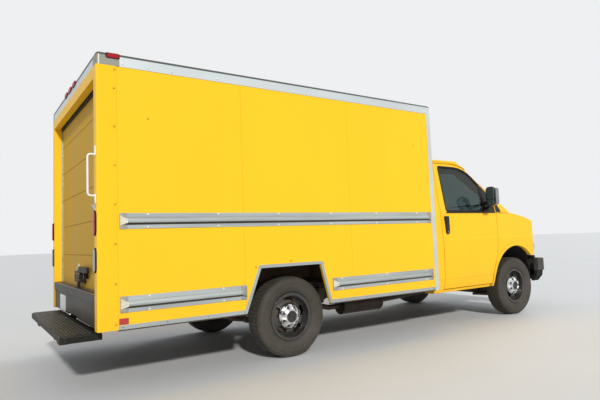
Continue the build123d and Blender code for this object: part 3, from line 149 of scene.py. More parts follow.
# A part painted another colour between two corners, alike on the left and the right
ZONE_EDGE = 0.0005
tree, given, result = effect(
    "Painted zone", {"Low corner": (0.0, 0.0, 0.0), "High corner": (1.0, 1.0, 1.0)},
    {"Inside": "Float"},
)
zone_effect = tree
axes = split(tree, object_place(tree))
folded = put(tree, "CombineXYZ", {
    "X": axes["X"], "Y": sums(tree, "ABSOLUTE", axes["Y"]), "Z": axes["Z"],
}).outputs[0]
margins = split(tree, sums(
    tree, "MINIMUM", sums(tree, "SUBTRACT", folded, given["Low corner"], kind="VectorMath"),
    sums(tree, "SUBTRACT", given["High corner"], folded, kind="VectorMath"), kind="VectorMath",
))
margin = sums(tree, "MINIMUM", sums(tree, "MINIMUM", margins["X"], margins["Y"]), margins["Z"])
tree.links.new(remap(tree, margin, -ZONE_EDGE, ZONE_EDGE), result["Inside"])

EVEN = (1.0, 1.0, 1.0)
DUST_TAN = (0.36, 0.29, 0.2)


def bare_material(name):
    """A new material with an empty tree."""
    material = bpy.data.materials.new(name)
    material.use_nodes = True
    material.node_tree.nodes.clear()
    return material, material.node_tree


def finish(name, colour, roughness, *, tone=0.08, patch=0.4, stretch=EVEN, dust=0.4,
           clean_above=1.3, ledges=0.4, wear=0.5, worn=(0.3, 0.3, 0.3), edge=0.003, grain=0.002,
           depth=0.0001, grain_stretch=EVEN, dust_colour=DUST_TAN, zones=(), ribs=None, **sockets):
    """A material from one colour and its painted zones, with uneven tone, rubbed edges, dust and grain."""
    material, tree = bare_material(name)
    shade = put(tree, "Group", {"Stretch": stretch, "Patch size": patch}, node_tree=tone_effect).outputs[0]
    edges = put(tree, "Group", {"Edge round": edge, "Amount": wear}, node_tree=edge_effect).outputs
    laid = put(tree, "Group", {
        "Clean above": clean_above, "On ledges": ledges, "Amount": dust,
    }, node_tree=dust_effect).outputs[0]
    base = colour
    for low, high, zone_colour in zones:
        inside = put(tree, "Group", {"Low corner": low, "High corner": high}, node_tree=zone_effect)
        base = blend_colour(tree, inside.outputs[0], base, zone_colour)
    darker = blend_colour(tree, 1.0, base, (1 - tone,) * 3, "MULTIPLY")
    lighter = blend_colour(tree, 1.0, base, (1 + tone,) * 3, "MULTIPLY")
    base = blend_colour(tree, shade, darker, lighter)
    base = blend_colour(tree, edges["Wear"], base, worn)
    base = blend_colour(tree, laid, base, dust_colour)
    rough = remap(tree, shade, 0.0, 1.0, roughness * 0.85, min(1.0, roughness * 1.15))
    rough = sums(tree, "MAXIMUM", rough, sums(tree, "MULTIPLY", laid, 0.9))
    where = object_place(tree)
    fine = noise(tree, sums(tree, "MULTIPLY", where, grain_stretch, kind="VectorMath"), grain, 2.0)
    bump = put(tree, "Bump", {
        "Height": fine, "Distance": depth, "Strength": 1.0, "Normal": edges["Rounded"],
    })
    if ribs:
        direction, pitch, rib_depth = ribs
        waves = put(tree, "TexWave", {"Vector": where, "Scale": pi / 10 / pitch}, bands_direction=direction)
        bump = put(tree, "Bump", {
            "Height": waves.outputs["Fac"], "Distance": rib_depth, "Strength": 1.0, "Normal": bump,
        })
    shader = put(tree, "BsdfPrincipled", {"Base Color": base, "Roughness": rough, "Normal": bump})
    for socket, value in sockets.items():
        shader.inputs[socket.replace("_", " ")].default_value = value
    put(tree, "OutputMaterial", {"Surface": shader})
    return material


def dress(material, *names):
    """Give CAD nodes their material."""
    for name in names:
        slots = nodes[name].material_slots
        if not slots:
            nodes[name].data.materials.append(material)
        for slot in slots:
            slot.material = material


chassis_black = finish(
    "chassis black", (0.014, 0.014, 0.015), 0.5, dust=0.5, clean_above=1.0, worn=(0.1, 0.07, 0.05),
    dust_colour=(0.16, 0.12, 0.08), Specular_IOR_Level=0.3,
)
dress(chassis_black, "frame_rails")


# Running gear: cast and forged iron that was never painted, dull brown-grey with rust
# and dust. Springs are bundles of flat steel leaves clamped by U-bolts.

RED_DUST = (0.2, 0.14, 0.09)
bare_iron = finish(
    "bare iron", (0.06, 0.05, 0.044), 0.62, tone=0.35, patch=0.06, dust=0.55,
    worn=(0.16, 0.13, 0.11), grain=0.0025, depth=0.0004, dust_colour=RED_DUST, Metallic=0.5,
)
dress(
    bare_iron, "front_suspension", "knuckle_left", "knuckle_right", "rear_axle", "leaf_springs",
    "driveshaft", "engine_block",
)


# Exhaust and fuel tank: a bent aluminised pipe with a pressed silencer, painted nearly black
# as painted shade under the body, and a welded steel tank held up by two straps.

# The exhaust is painted nearly black: painted shade, so it reads as the shadow under the body.
exhaust_painted_shade = finish(
    "aluminised pipe", (0.035, 0.03, 0.028), 0.55, tone=0.3, patch=0.15, dust=0.25,
    dust_colour=RED_DUST, Metallic=0.8,
)
tank_black = finish("tank black", (0.02, 0.02, 0.022), 0.42, dust=0.5, worn=(0.12, 0.1, 0.09))
dress(exhaust_painted_shade, "exhaust")
dress(tank_black, "fuel_tank")


# Tyres: moulded rubber carcasses with raised rings on the walls. The tread is made of
# separate blocks in rings, with short lugs wrapped over each shoulder.

WHEELS = (
    # name, axle, side
    ("front_left", FRONT_AXLE_X, 1),
    ("front_right", FRONT_AXLE_X, -1),
    ("rear_left", REAR_AXLE_X, 1),
    ("rear_right", REAR_AXLE_X, -1),
)
TYRE_RADIUS = 0.372
TYRE_MIDDLE_Y = 0.8745
TYRE_STEPS = 96
SHARPEST_SMOOTH = radians(38)
TYRE_WALL = (
    # radius, distance out from the tyre's middle: from the bead up to the groove floor
    (0.203, 0.0760), (0.2235, 0.0763), (0.2245, 0.0800), (0.2275, 0.0862), (0.2335, 0.0915),
    (0.2410, 0.0962), (0.2425, 0.0980), (0.2450, 0.0988), (0.2468, 0.0982), (0.2480, 0.0990),
    (0.2560, 0.1035), (0.2680, 0.1080), (0.2830, 0.1100), (0.2980, 0.1106), (0.3100, 0.1096),
    (0.3120, 0.1108), (0.3150, 0.1110), (0.3170, 0.1094), (0.3260, 0.1078), (0.3360, 0.1046),
    (0.3440, 0.1012), (0.3500, 0.0975), (0.3560, 0.0925), (0.3600, 0.0860), (0.3630, 0.0740),
    (0.3640, 0.0400),
)
TREAD_RINGS = (
    # blocks, ring radius, block height, length, width, out from the middle, tilt, skew (degrees)
    (64, 0.3675, 0.009, 0.0330, 0.0300, 0.0000, 0, 8),
    (64, 0.3670, 0.009, 0.0315, 0.0270, 0.0355, 1, -10),
    (64, 0.3670, 0.009, 0.0315, 0.0270, -0.0355, -1, -10),
    (64, 0.3640, 0.009, 0.0300, 0.0270, 0.0700, 6, 6),
    (64, 0.3640, 0.009, 0.0300, 0.0270, -0.0700, -6, 6),
    (64, 0.3545, 0.007, 0.0210, 0.0190, 0.0905, 38, 0),
    (64, 0.3545, 0.007, 0.0210, 0.0190, -0.0905, -38, 0),
    (128, 0.3455, 0.004, 0.0075, 0.0120, 0.0985, 62, 0),
    (128, 0.3455, 0.004, 0.0075, 0.0120, -0.0985, -62, 0),
)

rubber = finish(
    "tyre rubber", (0.034, 0.031, 0.026), 0.72, tone=0.22, patch=0.05, dust=0.35, ledges=0.1,
    wear=0.6, worn=(0.19, 0.18, 0.155), edge=0.0015, grain=0.0012, depth=0.00015,
    dust_colour=(0.15, 0.13, 0.105), Specular_IOR_Level=0.3,
)


def mesh_object(name, points, faces, material, smooth=True):
    """A piece from points and faces, with its faces turned outwards."""
    mesh = bpy.data.meshes.new(name)
    mesh.from_pydata(points, [], faces)
    form = bmesh.new()
    form.from_mesh(mesh)
    bmesh.ops.remove_doubles(form, verts=form.verts, dist=0.00002)
    bmesh.ops.recalc_face_normals(form, faces=form.faces)
    form.to_mesh(mesh)
    form.free()
    for face in mesh.polygons:
        face.use_smooth = smooth
    if smooth:
        mesh.set_sharp_from_angle(angle=SHARPEST_SMOOTH)
    mesh.materials.append(material)
    piece = bpy.data.objects.new(name, mesh)
    scene.collection.objects.link(piece)
    return piece


def fit(body, slot, *pieces):
    """Let pieces move with a body. The slot is not used."""
    for piece in pieces:
        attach(piece, body)


def loft(name, stations, material, around=True, closed=False, smooth=True):
    """A form through sections that all have the same number of points."""
    points = [point for section in stations for point in section]
    across, count = len(stations[0]), len(stations)
    faces = []
    for i in range(count if closed else count - 1):
        here, after = i * across, (i + 1) % count * across
        for j in range(across if around else across - 1):
            k = (j + 1) % across
            faces.append((here + j, here + k, after + k, after + j))
    if not closed:
        faces += [tuple(range(across)), tuple(range(len(points) - across, len(points)))]
    return mesh_object(name, points, faces, material, smooth)


def full_turn(steps):
    return [2 * pi * step / steps for step in range(steps)]


def lathe(name, profile, axle_x, side, material, steps=TYRE_STEPS, around=True):
    """Turn a profile of (radius, distance out) about a wheel's axle."""
    return loft(name, [
        [
            (axle_x + radius * cos(turn), side * (TYRE_MIDDLE_Y + out), TYRE_RADIUS + radius * sin(turn))
            for radius, out in profile
        ]
        for turn in full_turn(steps)
    ], material, around, closed=True)


def geometry_tree(name, inputs):
    """An empty Geometry Nodes tree with named inputs."""
    tree = bpy.data.node_groups.new(name, "GeometryNodeTree")
    inputs = {"Geometry": "Geometry", **inputs, "Material": "Material"}
    for label, kind in inputs.items():
        tree.interface.new_socket(label, in_out="INPUT", socket_type=f"NodeSocket{kind}")
    tree.interface.new_socket("Geometry", in_out="OUTPUT", socket_type="NodeSocketGeometry")
    return tree, put(tree, "GroupInput").outputs


def close_tree(tree, given, copies):
    """Make the copies real, give them their material and join them to the piece the tree is on."""
    real = put(tree, "RealizeInstances", {0: copies})
    coloured = put(tree, "SetMaterial", {"Geometry": real, "Material": given["Material"]})
    joined = put(tree, "JoinGeometry")
    tree.links.new(coloured.outputs[0], joined.inputs[0])
    tree.links.new(given["Geometry"], joined.inputs[0])
    put(tree, "GroupOutput", {0: joined})


def made_real(piece):
    """Turn a piece and its modifiers into a plain mesh."""
    evaluated = piece.evaluated_get(bpy.context.evaluated_depsgraph_get())
    mesh = bpy.data.meshes.new_from_object(evaluated)
    piece.modifiers.clear()
    piece.data = mesh
    return mesh


def grow(piece, tree, labels, rows, material):
    """Add one Geometry Nodes modifier for each row of sizes, then turn the result into a mesh."""
    sockets = {item.name: item.identifier for item in tree.interface.items_tree if item.in_out == "INPUT"}
    for row in rows:
        modifier = piece.modifiers.new(tree.name, "NODES")
        modifier.node_group = tree
        for label, value in zip((*labels, "Material"), (*row, material)):
            modifier[sockets[label]] = value
    made_real(piece)


TREAD_SIZES = {
    "Blocks": "Int", "Ring radius": "Float", "Block size": "Vector", "Out": "Float", "Tilt": "Float",
    "Skew": "Float", "Centre": "Vector",
}
tree, given = geometry_tree("Tread ring", TREAD_SIZES)
tread_tree = tree
ring = put(tree, "MeshCircle", {"Vertices": given["Blocks"], "Radius": given["Ring radius"]})
block = put(tree, "MeshCube", {"Size": given["Block size"]})
share = sums(tree, "DIVIDE", put(tree, "InputIndex"), given["Blocks"])
turned = sums(tree, "MULTIPLY", share, 2 * pi)
angles = put(tree, "CombineXYZ", {"X": given["Skew"], "Y": given["Tilt"], "Z": turned})
placed = put(tree, "InstanceOnPoints", {"Points": ring, "Instance": block, "Rotation": angles})
lifted = put(tree, "Transform", {
    "Geometry": placed, "Translation": put(tree, "CombineXYZ", {"Z": given["Out"]}),
})
stood = put(tree, "Transform", {
    "Geometry": lifted, "Rotation": (-pi / 2, 0, 0), "Translation": given["Centre"],
})
close_tree(tree, given, stood)

tyre_profile = list(TYRE_WALL) + [(radius, -out) for radius, out in reversed(TYRE_WALL)]
for name, axle_x, side in WHEELS:
    tyre = lathe(f"tyre_dressed_{name}", tyre_profile, axle_x, side, rubber)
    grow(tyre, tread_tree, TREAD_SIZES, [
        (
            blocks, radius, (tall, long, wide), out, radians(-tilt), radians(skew),
            (axle_x, side * TYRE_MIDDLE_Y, TYRE_RADIUS),
        )
        for blocks, radius, tall, long, wide, out, tilt, skew in TREAD_RINGS
    ], rubber)
    fit(f"wheel_{name}", "tyre", tyre)
    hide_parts(f"tyre_{name}")


# Wheels: pressed steel rims in dark grey enamel, darkened further as a painted reflection of
# dark ground, with five hand holes. A deep chromed cap is snapped over each hub, with a bump
# over every wheel nut and a plain dark middle.

CAP_PROFILE = (
    # radius, distance out from the tyre's middle
    (0.1225, 0.0440), (0.1240, 0.0490), (0.1225, 0.0545), (0.1185, 0.0610), (0.1130, 0.0670),
    (0.1060, 0.0720), (0.0990, 0.0755), (0.0920, 0.0785), (0.0840, 0.0815), (0.0765, 0.0855),
    (0.0695, 0.0910), (0.0655, 0.0950), (0.0595, 0.0975), (0.0560, 0.0975), (0.0538, 0.0955),
    (0.0515, 0.0955), (0.0240, 0.0962), (0.0, 0.0964),
)
CAP_PITCH = 0.003
CAP_STEPS = 160
CAP_DISC_RADIUS = 0.0545
NUTS = 8
NUT_RING = 0.0915
NUT_RADIUS = 0.0245
NUT_BUMP = 0.012
# the dark nut in each bump: its share of the bump's radius, and how deep it sits
NUT_HOLE = 0.62
NUT_SINK = 0.0095

# The enamel is darker than the rims' own grey: a painted reflection of dark ground.
rim_enamel = finish(
    "wheel enamel", (0.055, 0.056, 0.056), 0.24, tone=0.2, patch=0.06, dust=0.25, clean_above=0.9,
    worn=(0.06, 0.05, 0.045), dust_colour=(0.14, 0.11, 0.08), Metallic=0.6, Coat_Weight=0.4,
    Coat_Roughness=0.08,
)
chrome = finish(
    "chrome", (0.7, 0.71, 0.73), 0.1, tone=0.06, patch=0.03, dust=0.12, clean_above=0.9, wear=0.1,
    grain=0.004, depth=0.00002, Metallic=1.0,
)
cap_disc_black = finish("cap disc", (0.012, 0.012, 0.014), 0.35, dust=0.05, clean_above=0.9)
cap_rings = []
for here, after in zip(CAP_PROFILE, CAP_PROFILE[1:]):
    apart = ((here[0] - after[0]) ** 2 + (here[1] - after[1]) ** 2) ** 0.5
    parts = max(1, round(apart / CAP_PITCH))
    cap_rings += [tuple(a + (b - a) * k / parts for a, b in zip(here, after)) for k in range(parts)]
cap_rings.append(CAP_PROFILE[-1])


def on_cap(place, axle_x):
    """A place's distance from the hub's middle, and from the nearest wheel nut's in nut radii."""
    along, up = place.x - axle_x, place.z - TYRE_RADIUS
    radius = (along * along + up * up) ** 0.5
    sector = 2 * pi / NUTS
    turned = (atan2(up, along) + pi) % sector - sector / 2
    return radius, ((radius - NUT_RING) ** 2 + (turned * radius) ** 2) ** 0.5 / NUT_RADIUS


def dome(apart, sharpness):
    return max(0.0, 1.0 - apart ** sharpness) ** 0.6


for name, axle_x, side in WHEELS:
    dress(rim_enamel, f"rim_{name}")
    cap = lathe(f"hub_cap_{name}", cap_rings, axle_x, side, chrome, CAP_STEPS, around=False)
    for vertex in cap.data.vertices:
        _, apart = on_cap(vertex.co, axle_x)
        vertex.co.y += side * (dome(apart, 4) * NUT_BUMP - dome(apart / NUT_HOLE, 6) * NUT_SINK)
    cap.data.materials.append(cap_disc_black)
    for face in cap.data.polygons:
        radius, apart = on_cap(face.center, axle_x)
        if radius < CAP_DISC_RADIUS or apart < NUT_HOLE:
            face.material_index = 1
    fit(f"wheel_{name}", "rim_steel", cap)


# Brakes: a cast disc inside each rim, bolted to the hub and rusty all over. It stays clear of
# the suspension's arms when the wheels are steered.

BRAKE_PROFILE = (
    # radius, distance out from the tyre's middle
    (0.0950, 0.0060), (0.1520, 0.0060), (0.1560, 0.0030), (0.1560, -0.0060), (0.1520, -0.0090),
    (0.0950, -0.0090),
)
for name, axle_x, side in WHEELS:
    fit(f"wheel_{name}", "cast_metal", lathe(f"brake_disc_{name}", BRAKE_PROFILE, axle_x, side, bare_iron))


# Cab floor and engine bay liners: pressed steel in black primer and underseal, on rubber
# mounts above the chassis rails.

SIDES = (("left", 1), ("right", -1))

primer_black = finish(
    "primer black", (0.012, 0.012, 0.013), 0.62, dust=0.35, clean_above=0.9,
    dust_colour=(0.13, 0.1, 0.07), Specular_IOR_Level=0.2,
)
dress(primer_black, "cab_floor", "engine_bay")


# Cab: pressed steel panels in yellow gloss paint. Doors, fenders, hood and shell are
# separate pressings with narrow gaps between them.

yellow_paint = finish(
    "yellow paint", (0.95, 0.525, 0.012), 0.3, tone=0.025, patch=0.7, dust=0.12, clean_above=0.75,
    ledges=0.0, wear=0.1, worn=(0.45, 0.25, 0.02), edge=0.005, grain=0.004, depth=0.00002,
    dust_colour=(0.45, 0.27, 0.06), Coat_Weight=0.12, Coat_Roughness=0.06, Specular_IOR_Level=0.2,
)
dress(yellow_paint, "cab_shell", "door_left", "door_right", "front_fenders", "hood")


def skin_of(*names):
    """The surfaces of some CAD nodes, to set a fitting down on."""
    points, faces = [], []
    for name in names:
        mesh = nodes[name].data
        start = len(points)
        points += [vertex.co.copy() for vertex in mesh.vertices]
        faces += [[start + i for i in face.vertices] for face in mesh.polygons]
    return BVHTree.FromPolygons(points, faces)


def touch(skin, place, outward, reach=0.4):
    """Where a line from outside first meets a surface, or the place itself where it meets none."""
    place, outward = Vector(place), Vector(outward).normalized()
    hit = skin.ray_cast(place + outward * reach, -outward, 2 * reach)[0]
    return hit if hit else place


def round_off(corners, radius, steps=5, longest=0.08):
    """A closed outline with its corners rounded and its long edges divided."""
    outline, divided = [], []
    for i, corner in enumerate(corners):
        corner = Vector(corner)
        before, after = Vector(corners[i - 1]) - corner, Vector(corners[(i + 1) % len(corners)]) - corner
        reach = min(radius / tan(max(before.angle(after), 0.2) / 2), 0.45 * before.length, 0.45 * after.length)
        start, end = corner + before.normalized() * reach, corner + after.normalized() * reach
        for step in range(steps + 1):
            t = step / steps
            outline.append(start * (1 - t) ** 2 + corner * (2 * t * (1 - t)) + end * t ** 2)
    for i, point in enumerate(outline):
        span = outline[(i + 1) % len(outline)] - point
        pieces = max(1, round(span.length / longest))
        divided += [point + span * (k / pieces) for k in range(pieces)]
    return divided


def middle_of(outline):
    return sum(outline, Vector()) / len(outline)


def slab(name, outline, outward, thick, material, bevel=0.001, sunk=0.001):
    """A flat or gently curved plate on an outline, with its back just below the surface."""
    outward, middle = Vector(outward).normalized(), middle_of(outline)
    size = max((point - middle).length for point in outline)
    back = [point - outward * sunk for point in outline]
    edge = [point + outward * (thick - bevel) for point in outline]
    face = [point + (middle - point) * (bevel / size) + outward * thick for point in outline]
    return loft(name, [back, edge, face], material)


# Door windows and windscreen: toughened and laminated panes with a dark tint, held in
# black rubber seals that lap over the sheet metal and over the glass.

clear_glass = finish(
    "tinted glass", (0.2, 0.27, 0.255), 0.02, tone=0.02, dust=0.0, wear=0.0, edge=0.001,
    grain=0.05, depth=0.000005, Transmission_Weight=1.0, IOR=1.45,
)
dress(clear_glass, "windscreen", "door_glass_left", "door_glass_right")
seal_rubber = finish(
    "seal rubber", (0.008, 0.008, 0.009), 0.6, tone=0.2, patch=0.05, dust=0.05, wear=0.0,
    Specular_IOR_Level=0.25,
)

DOOR_WINDOW = (
    # forward of the front axle, height
    (-1.272, 1.360), (-0.540, 1.360), (-0.540, 1.692), (-0.655, 1.796), (-0.723, 1.845),
    (-0.785, 1.877), (-0.870, 1.901), (-0.960, 1.912), (-1.252, 1.916),
)
DOOR_SKIN_Y = 0.95
SEAL_PROUD = 0.0035
WINDOW_ROUND, WINDOW_LAP = 0.03, 0.014
SCREEN_ROUND, SCREEN_LAP = 0.06, 0.018
SCREEN_FOOT = Vector((FRONT_AXLE_X + 0.090, 0.0, 1.385))
SCREEN_SLOPE = radians(36.3)
SCREEN_CORNERS = ((-0.800, 0.075), (0.800, 0.075), (0.650, 0.955), (-0.650, 0.955))


def seal(name, outline, skin, outward, lap):
    """A rubber seal round a pane, from the sheet metal down to the glass."""
    outward, middle = Vector(outward).normalized(), middle_of(outline)
    stations = []
    for i, place in enumerate(outline):
        along = outline[(i + 1) % len(outline)] - outline[i - 1]
        aside = along.cross(outward).normalized()
        if aside.dot(place - middle) < 0:
            aside = -aside
        sheet = touch(skin, place + aside * lap, outward)
        glass = touch(skin, place - aside * lap, outward)
        stations.append([
            sheet - outward * 0.002, sheet + outward * 0.5 * SEAL_PROUD,
            sheet - aside * 0.4 * lap + outward * SEAL_PROUD,
            sheet - aside * 0.9 * lap + outward * SEAL_PROUD,
            glass + outward * 0.004, glass - outward * 0.002,
        ])
    return loft(name, stations, seal_rubber, closed=True)


def at_door(side, outline):
    return [(FRONT_AXLE_X + x, side * DOOR_SKIN_Y, z) for x, z in outline]


screen_up = Vector((-cos(SCREEN_SLOPE), 0.0, sin(SCREEN_SLOPE)))
screen_out = Vector((sin(SCREEN_SLOPE), 0.0, cos(SCREEN_SLOPE)))
screen_skin = skin_of("cab_shell", "windscreen")
outline = [SCREEN_FOOT + Vector((0, y, 0)) + screen_up * up for y, up in SCREEN_CORNERS]
outline = round_off(outline, SCREEN_ROUND, steps=8)
fit("chassis", "black_plastic", seal("windscreen_seal", outline, screen_skin, screen_out, SCREEN_LAP))

sail_black = finish(
    "sail black", (0.012, 0.012, 0.013), 0.42, tone=0.15, patch=0.05, dust=0.04, wear=0.1,
    grain=0.0015, depth=0.00012, Specular_IOR_Level=0.3,
)
SAILS = (
    # name, whether it opens with the door, thickness, corner radius, corners as above
    ("door_sail", True, 0.0045, 0.012,
     ((-0.528, 1.349), (-0.334, 1.349), (-0.334, 1.485), (-0.406, 1.580), (-0.528, 1.697))),
    ("pillar_sail", False, 0.0045, 0.008,
     ((-0.312, 1.347), (-0.208, 1.347), (-0.236, 1.410), (-0.312, 1.500))),
    ("belt_strip", True, 0.005, 0.003,
     ((-1.288, 1.336), (-0.334, 1.336), (-0.334, 1.349), (-1.288, 1.349))),
)
for side_name, side in SIDES:
    door_skin, shell_skin = skin_of(f"door_{side_name}", f"door_glass_{side_name}"), skin_of("cab_shell")
    outward, door = (0, side, 0), f"door_{side_name}"
    outline = round_off(at_door(side, DOOR_WINDOW), WINDOW_ROUND)
    fit(door, "black_plastic", seal(f"window_seal_{side_name}", outline, door_skin, outward, WINDOW_LAP))
    for name, opens, thick, radius, corners in SAILS:
        skin = door_skin if opens else shell_skin
        outline = round_off(at_door(side, corners), radius, longest=0.05)
        outline = [touch(skin, point, outward) for point in outline]
        piece = slab(f"{name}_{side_name}", outline, outward, thick, sail_black)
        fit(door if opens else "chassis", "black_plastic", piece)


# Door fittings: a rounded mirror on two arms, its cover painted light grey on the outer side
# as a painted reflection of the sky, and a black pull handle with a lock below it.

fitting_black = finish(
    "fitting black", (0.014, 0.014, 0.015), 0.4, tone=0.12, patch=0.1, dust=0.08, clean_above=1.2,
    # the light grey zone on the mirror cover's outer side is a painted reflection of the sky
    worn=(0.05, 0.05, 0.05), grain=0.0015, Specular_IOR_Level=0.35, zones=((
        (FRONT_AXLE_X - 0.632, 1.128, 1.415), (FRONT_AXLE_X - 0.540, 1.215, 1.660), (0.22, 0.225, 0.23),
    ),),
)
dress(fitting_black, "door_fittings_left", "door_fittings_right")
mirror_glass = finish(
    "mirror glass", (0.42, 0.58, 0.62), 0.05, tone=0.03, dust=0.02, wear=0.0, grain=0.01,
    depth=0.00001, Metallic=1.0,
)
lock_metal = finish("lock metal", (0.55, 0.55, 0.54), 0.25, dust=0.05, wear=0.2, Metallic=0.9)

MIRROR_MIDDLE = (FRONT_AXLE_X - 0.650, 1.142)
MIRROR_PANES = (
    # height of the middle, half width, half height: the main glass and a wide-angle glass below
    (1.568, 0.053, 0.066), (1.462, 0.050, 0.029),
)
PANE_THICK, PANE_ROUND = 0.003, 0.022
LOCK_PLACE = (FRONT_AXLE_X - 1.318, 1.018, 1.112)
LOCK_RADIUS, LOCK_HEIGHT = 0.0095, 0.004
RIVET_SIZES = {
    "Start": "Vector", "End": "Vector", "Count": "Int", "Head radius": "Float",
    "Head height": "Float", "Facing": "Vector",
}


def oblong(start, end, low, high):
    """A rectangle's four corners, in order."""
    return (start, low), (end, low), (end, high), (start, high)


def panel(name, middle, across, up, outward, thick, material, radius=0.012):
    """A thin plate with round corners, from its middle and its half width and height."""
    middle, across, up = Vector(middle), Vector(across), Vector(up)
    corners = [middle + across * i + up * j for i, j in oblong(-1, 1, -1, 1)]
    return slab(name, round_off(corners, radius), outward, thick, material)


tree, given = geometry_tree("Rivet row", RIVET_SIZES)
rivet_tree = tree
line = put(tree, "MeshLine", {
    "Count": given["Count"], "Start Location": given["Start"], "Offset": given["End"],
}, mode="END_POINTS")
shape = put(tree, "CombineXYZ", {
    "X": given["Head radius"], "Y": given["Head radius"], "Z": given["Head height"],
})
ball = put(tree, "MeshUVSphere", {"Segments": 8, "Rings": 5, "Radius": 1.0})
head = put(tree, "SetShadeSmooth", {"Geometry": put(tree, "Transform", {"Geometry": ball, "Scale": shape})})
turned = put(tree, "AlignRotationToVector", {"Vector": given["Facing"]}, axis="Z")
close_tree(tree, given, put(tree, "InstanceOnPoints", {"Points": line, "Instance": head, "Rotation": turned}))


def rivet_rows(name, rows, material, body, slot):
    """Rows of domed heads: first place, last place, how many, head radius, head height, facing."""
    piece = mesh_object(name, [], [], material)
    grow(piece, rivet_tree, RIVET_SIZES, rows, material)
    fit(body, slot, piece)


for side_name, side in SIDES:
    door, (x, y) = f"door_{side_name}", MIRROR_MIDDLE
    for number, (height, wide, tall) in enumerate(MIRROR_PANES):
        fit(door, "glass", panel(
            f"mirror_pane_{side_name}_{number}", (x, side * y, height), (0, side * wide, 0), (0, 0, tall),
            (-1, 0, 0), PANE_THICK, mirror_glass, PANE_ROUND,
        ))
    place = (LOCK_PLACE[0], side * LOCK_PLACE[1], LOCK_PLACE[2])
    rows = [(place, place, 1, LOCK_RADIUS, LOCK_HEIGHT, (0, side, 0))]
    rivet_rows(f"door_lock_{side_name}", rows, lock_metal, door, "cast_metal")


# Nose: a black plastic grille between two lamps. Each lamp has a clear lens over a bright
# reflector and an amber turn lamp below, which stands out round the corner.

grille_black = finish(
    "grille black", (0.03, 0.03, 0.032), 0.45, tone=0.12, patch=0.1, dust=0.15, clean_above=1.2,
    worn=(0.09, 0.09, 0.09), grain=0.0015, Specular_IOR_Level=0.35,
)
dress(grille_black, "grille")
lamp_glass = finish(
    "lamp glass", (0.62, 0.64, 0.66), 0.12, tone=0.05, dust=0.06, wear=0.0, ribs=("Y", 0.012, 0.0012),
    zones=(((0.0, 0.0, 0.78), (4.0, 2.0, 0.926), (0.75, 0.17, 0.01)),), Metallic=0.35,
    Coat_Weight=1.0, Coat_Roughness=0.03,
)
dress(lamp_glass, "headlamps")
amber_lens = finish(
    "amber lens", (0.8, 0.14, 0.012), 0.14, tone=0.06, dust=0.05, wear=0.0, ribs=("Z", 0.009, 0.0008),
    Transmission_Weight=0.15, Coat_Weight=0.6,
)
# the middle of the nose's round corner, from the front axle and the centre line
NOSE_CORNER_X, NOSE_CORNER_Y = 0.414, 0.706
TURN_LAMP_FROM, TURN_LAMP_TO, TURN_LAMP_STEPS = 34, 63, 8
TURN_LAMP_LOW, TURN_LAMP_HIGH = 0.812, 0.918
TURN_LAMP_PROUD, TURN_LAMP_SUNK, TURN_LAMP_ROUND = 0.016, 0.004, 0.01
nose_skin = skin_of("front_fenders", "headlamps", "grille", "engine_bay")
for side_name, side in SIDES:
    stations = []
    for step in range(TURN_LAMP_STEPS + 1):
        turn = radians(TURN_LAMP_FROM + (TURN_LAMP_TO - TURN_LAMP_FROM) * step / TURN_LAMP_STEPS)
        outward = Vector((cos(turn), side * sin(turn), 0.0))
        swell = TURN_LAMP_PROUD * (1.0 if 0 < step < TURN_LAMP_STEPS else 0.3)
        section = []
        for height, proud in (
            (TURN_LAMP_LOW, -TURN_LAMP_SUNK), (TURN_LAMP_LOW, swell * 0.6),
            (TURN_LAMP_LOW + TURN_LAMP_ROUND, swell), (TURN_LAMP_HIGH - TURN_LAMP_ROUND, swell),
            (TURN_LAMP_HIGH, swell * 0.6), (TURN_LAMP_HIGH, -TURN_LAMP_SUNK),
        ):
            corner = Vector((FRONT_AXLE_X + NOSE_CORNER_X, side * NOSE_CORNER_Y, height)) + outward * 0.30
            section.append(touch(nose_skin, corner, outward, 0.12) + outward * proud)
        stations.append(section)
    fit("chassis", "lamp_lens", loft(f"turn_lamp_{side_name}", stations, amber_lens))


# Front bumper: a grained grey plastic moulding over a steel beam, clipped on from behind, and
# black below its step. A flat black sheet fills the gap between it and the body as painted shade.

bumper_plastic = finish(
    "bumper plastic", (0.075, 0.075, 0.07), 0.85, tone=0.12, patch=0.12, dust=0.05, clean_above=0.9,
    ledges=0.0, worn=(0.1, 0.1, 0.1), grain=0.0015, depth=0.00012, Specular_IOR_Level=0.05,
    zones=(((0.0, -1.0, 0.0), (4.0, 2.0, 0.540), (0.02, 0.021, 0.022)),),
)
dress(bumper_plastic, "front_bumper")
# The black sheet in the gap over the bumper is painted shade.
GAP_SHADE_REAR = 0.470
GAP_SHADE_RADIUS = 0.270
GAP_SHADE_LOW, GAP_SHADE_HIGH = 0.690, 0.744
outline = []
for degrees in range(0, 84, 6):
    ahead = NOSE_CORNER_X + GAP_SHADE_RADIUS * cos(radians(degrees))
    if ahead > GAP_SHADE_REAR:
        aside = NOSE_CORNER_Y + GAP_SHADE_RADIUS * sin(radians(degrees))
        outline.append(Vector((FRONT_AXLE_X + ahead, aside, GAP_SHADE_LOW)))
outline += [Vector((place.x, -place.y, place.z)) for place in reversed(outline)]
gap_shade_sheet = slab("bumper_gap_shade", outline, (0, 0, 1), GAP_SHADE_HIGH - GAP_SHADE_LOW, primer_black)
fit("chassis", "black_plastic", gap_shade_sheet)


# Wipers: two painted steel arms from the cowl, each with a rubber blade that lies on the
# windscreen.

WIPERS = (
    # pivot across and up the glass, blade's foot, blade's tip
    ((0.56, 0.050), (0.66, 0.150), (0.10, 0.190)),
    ((-0.10, 0.050), (0.02, 0.150), (-0.54, 0.190)),
)
WIPER_STEPS = 12
BLADE_TALL = 0.012
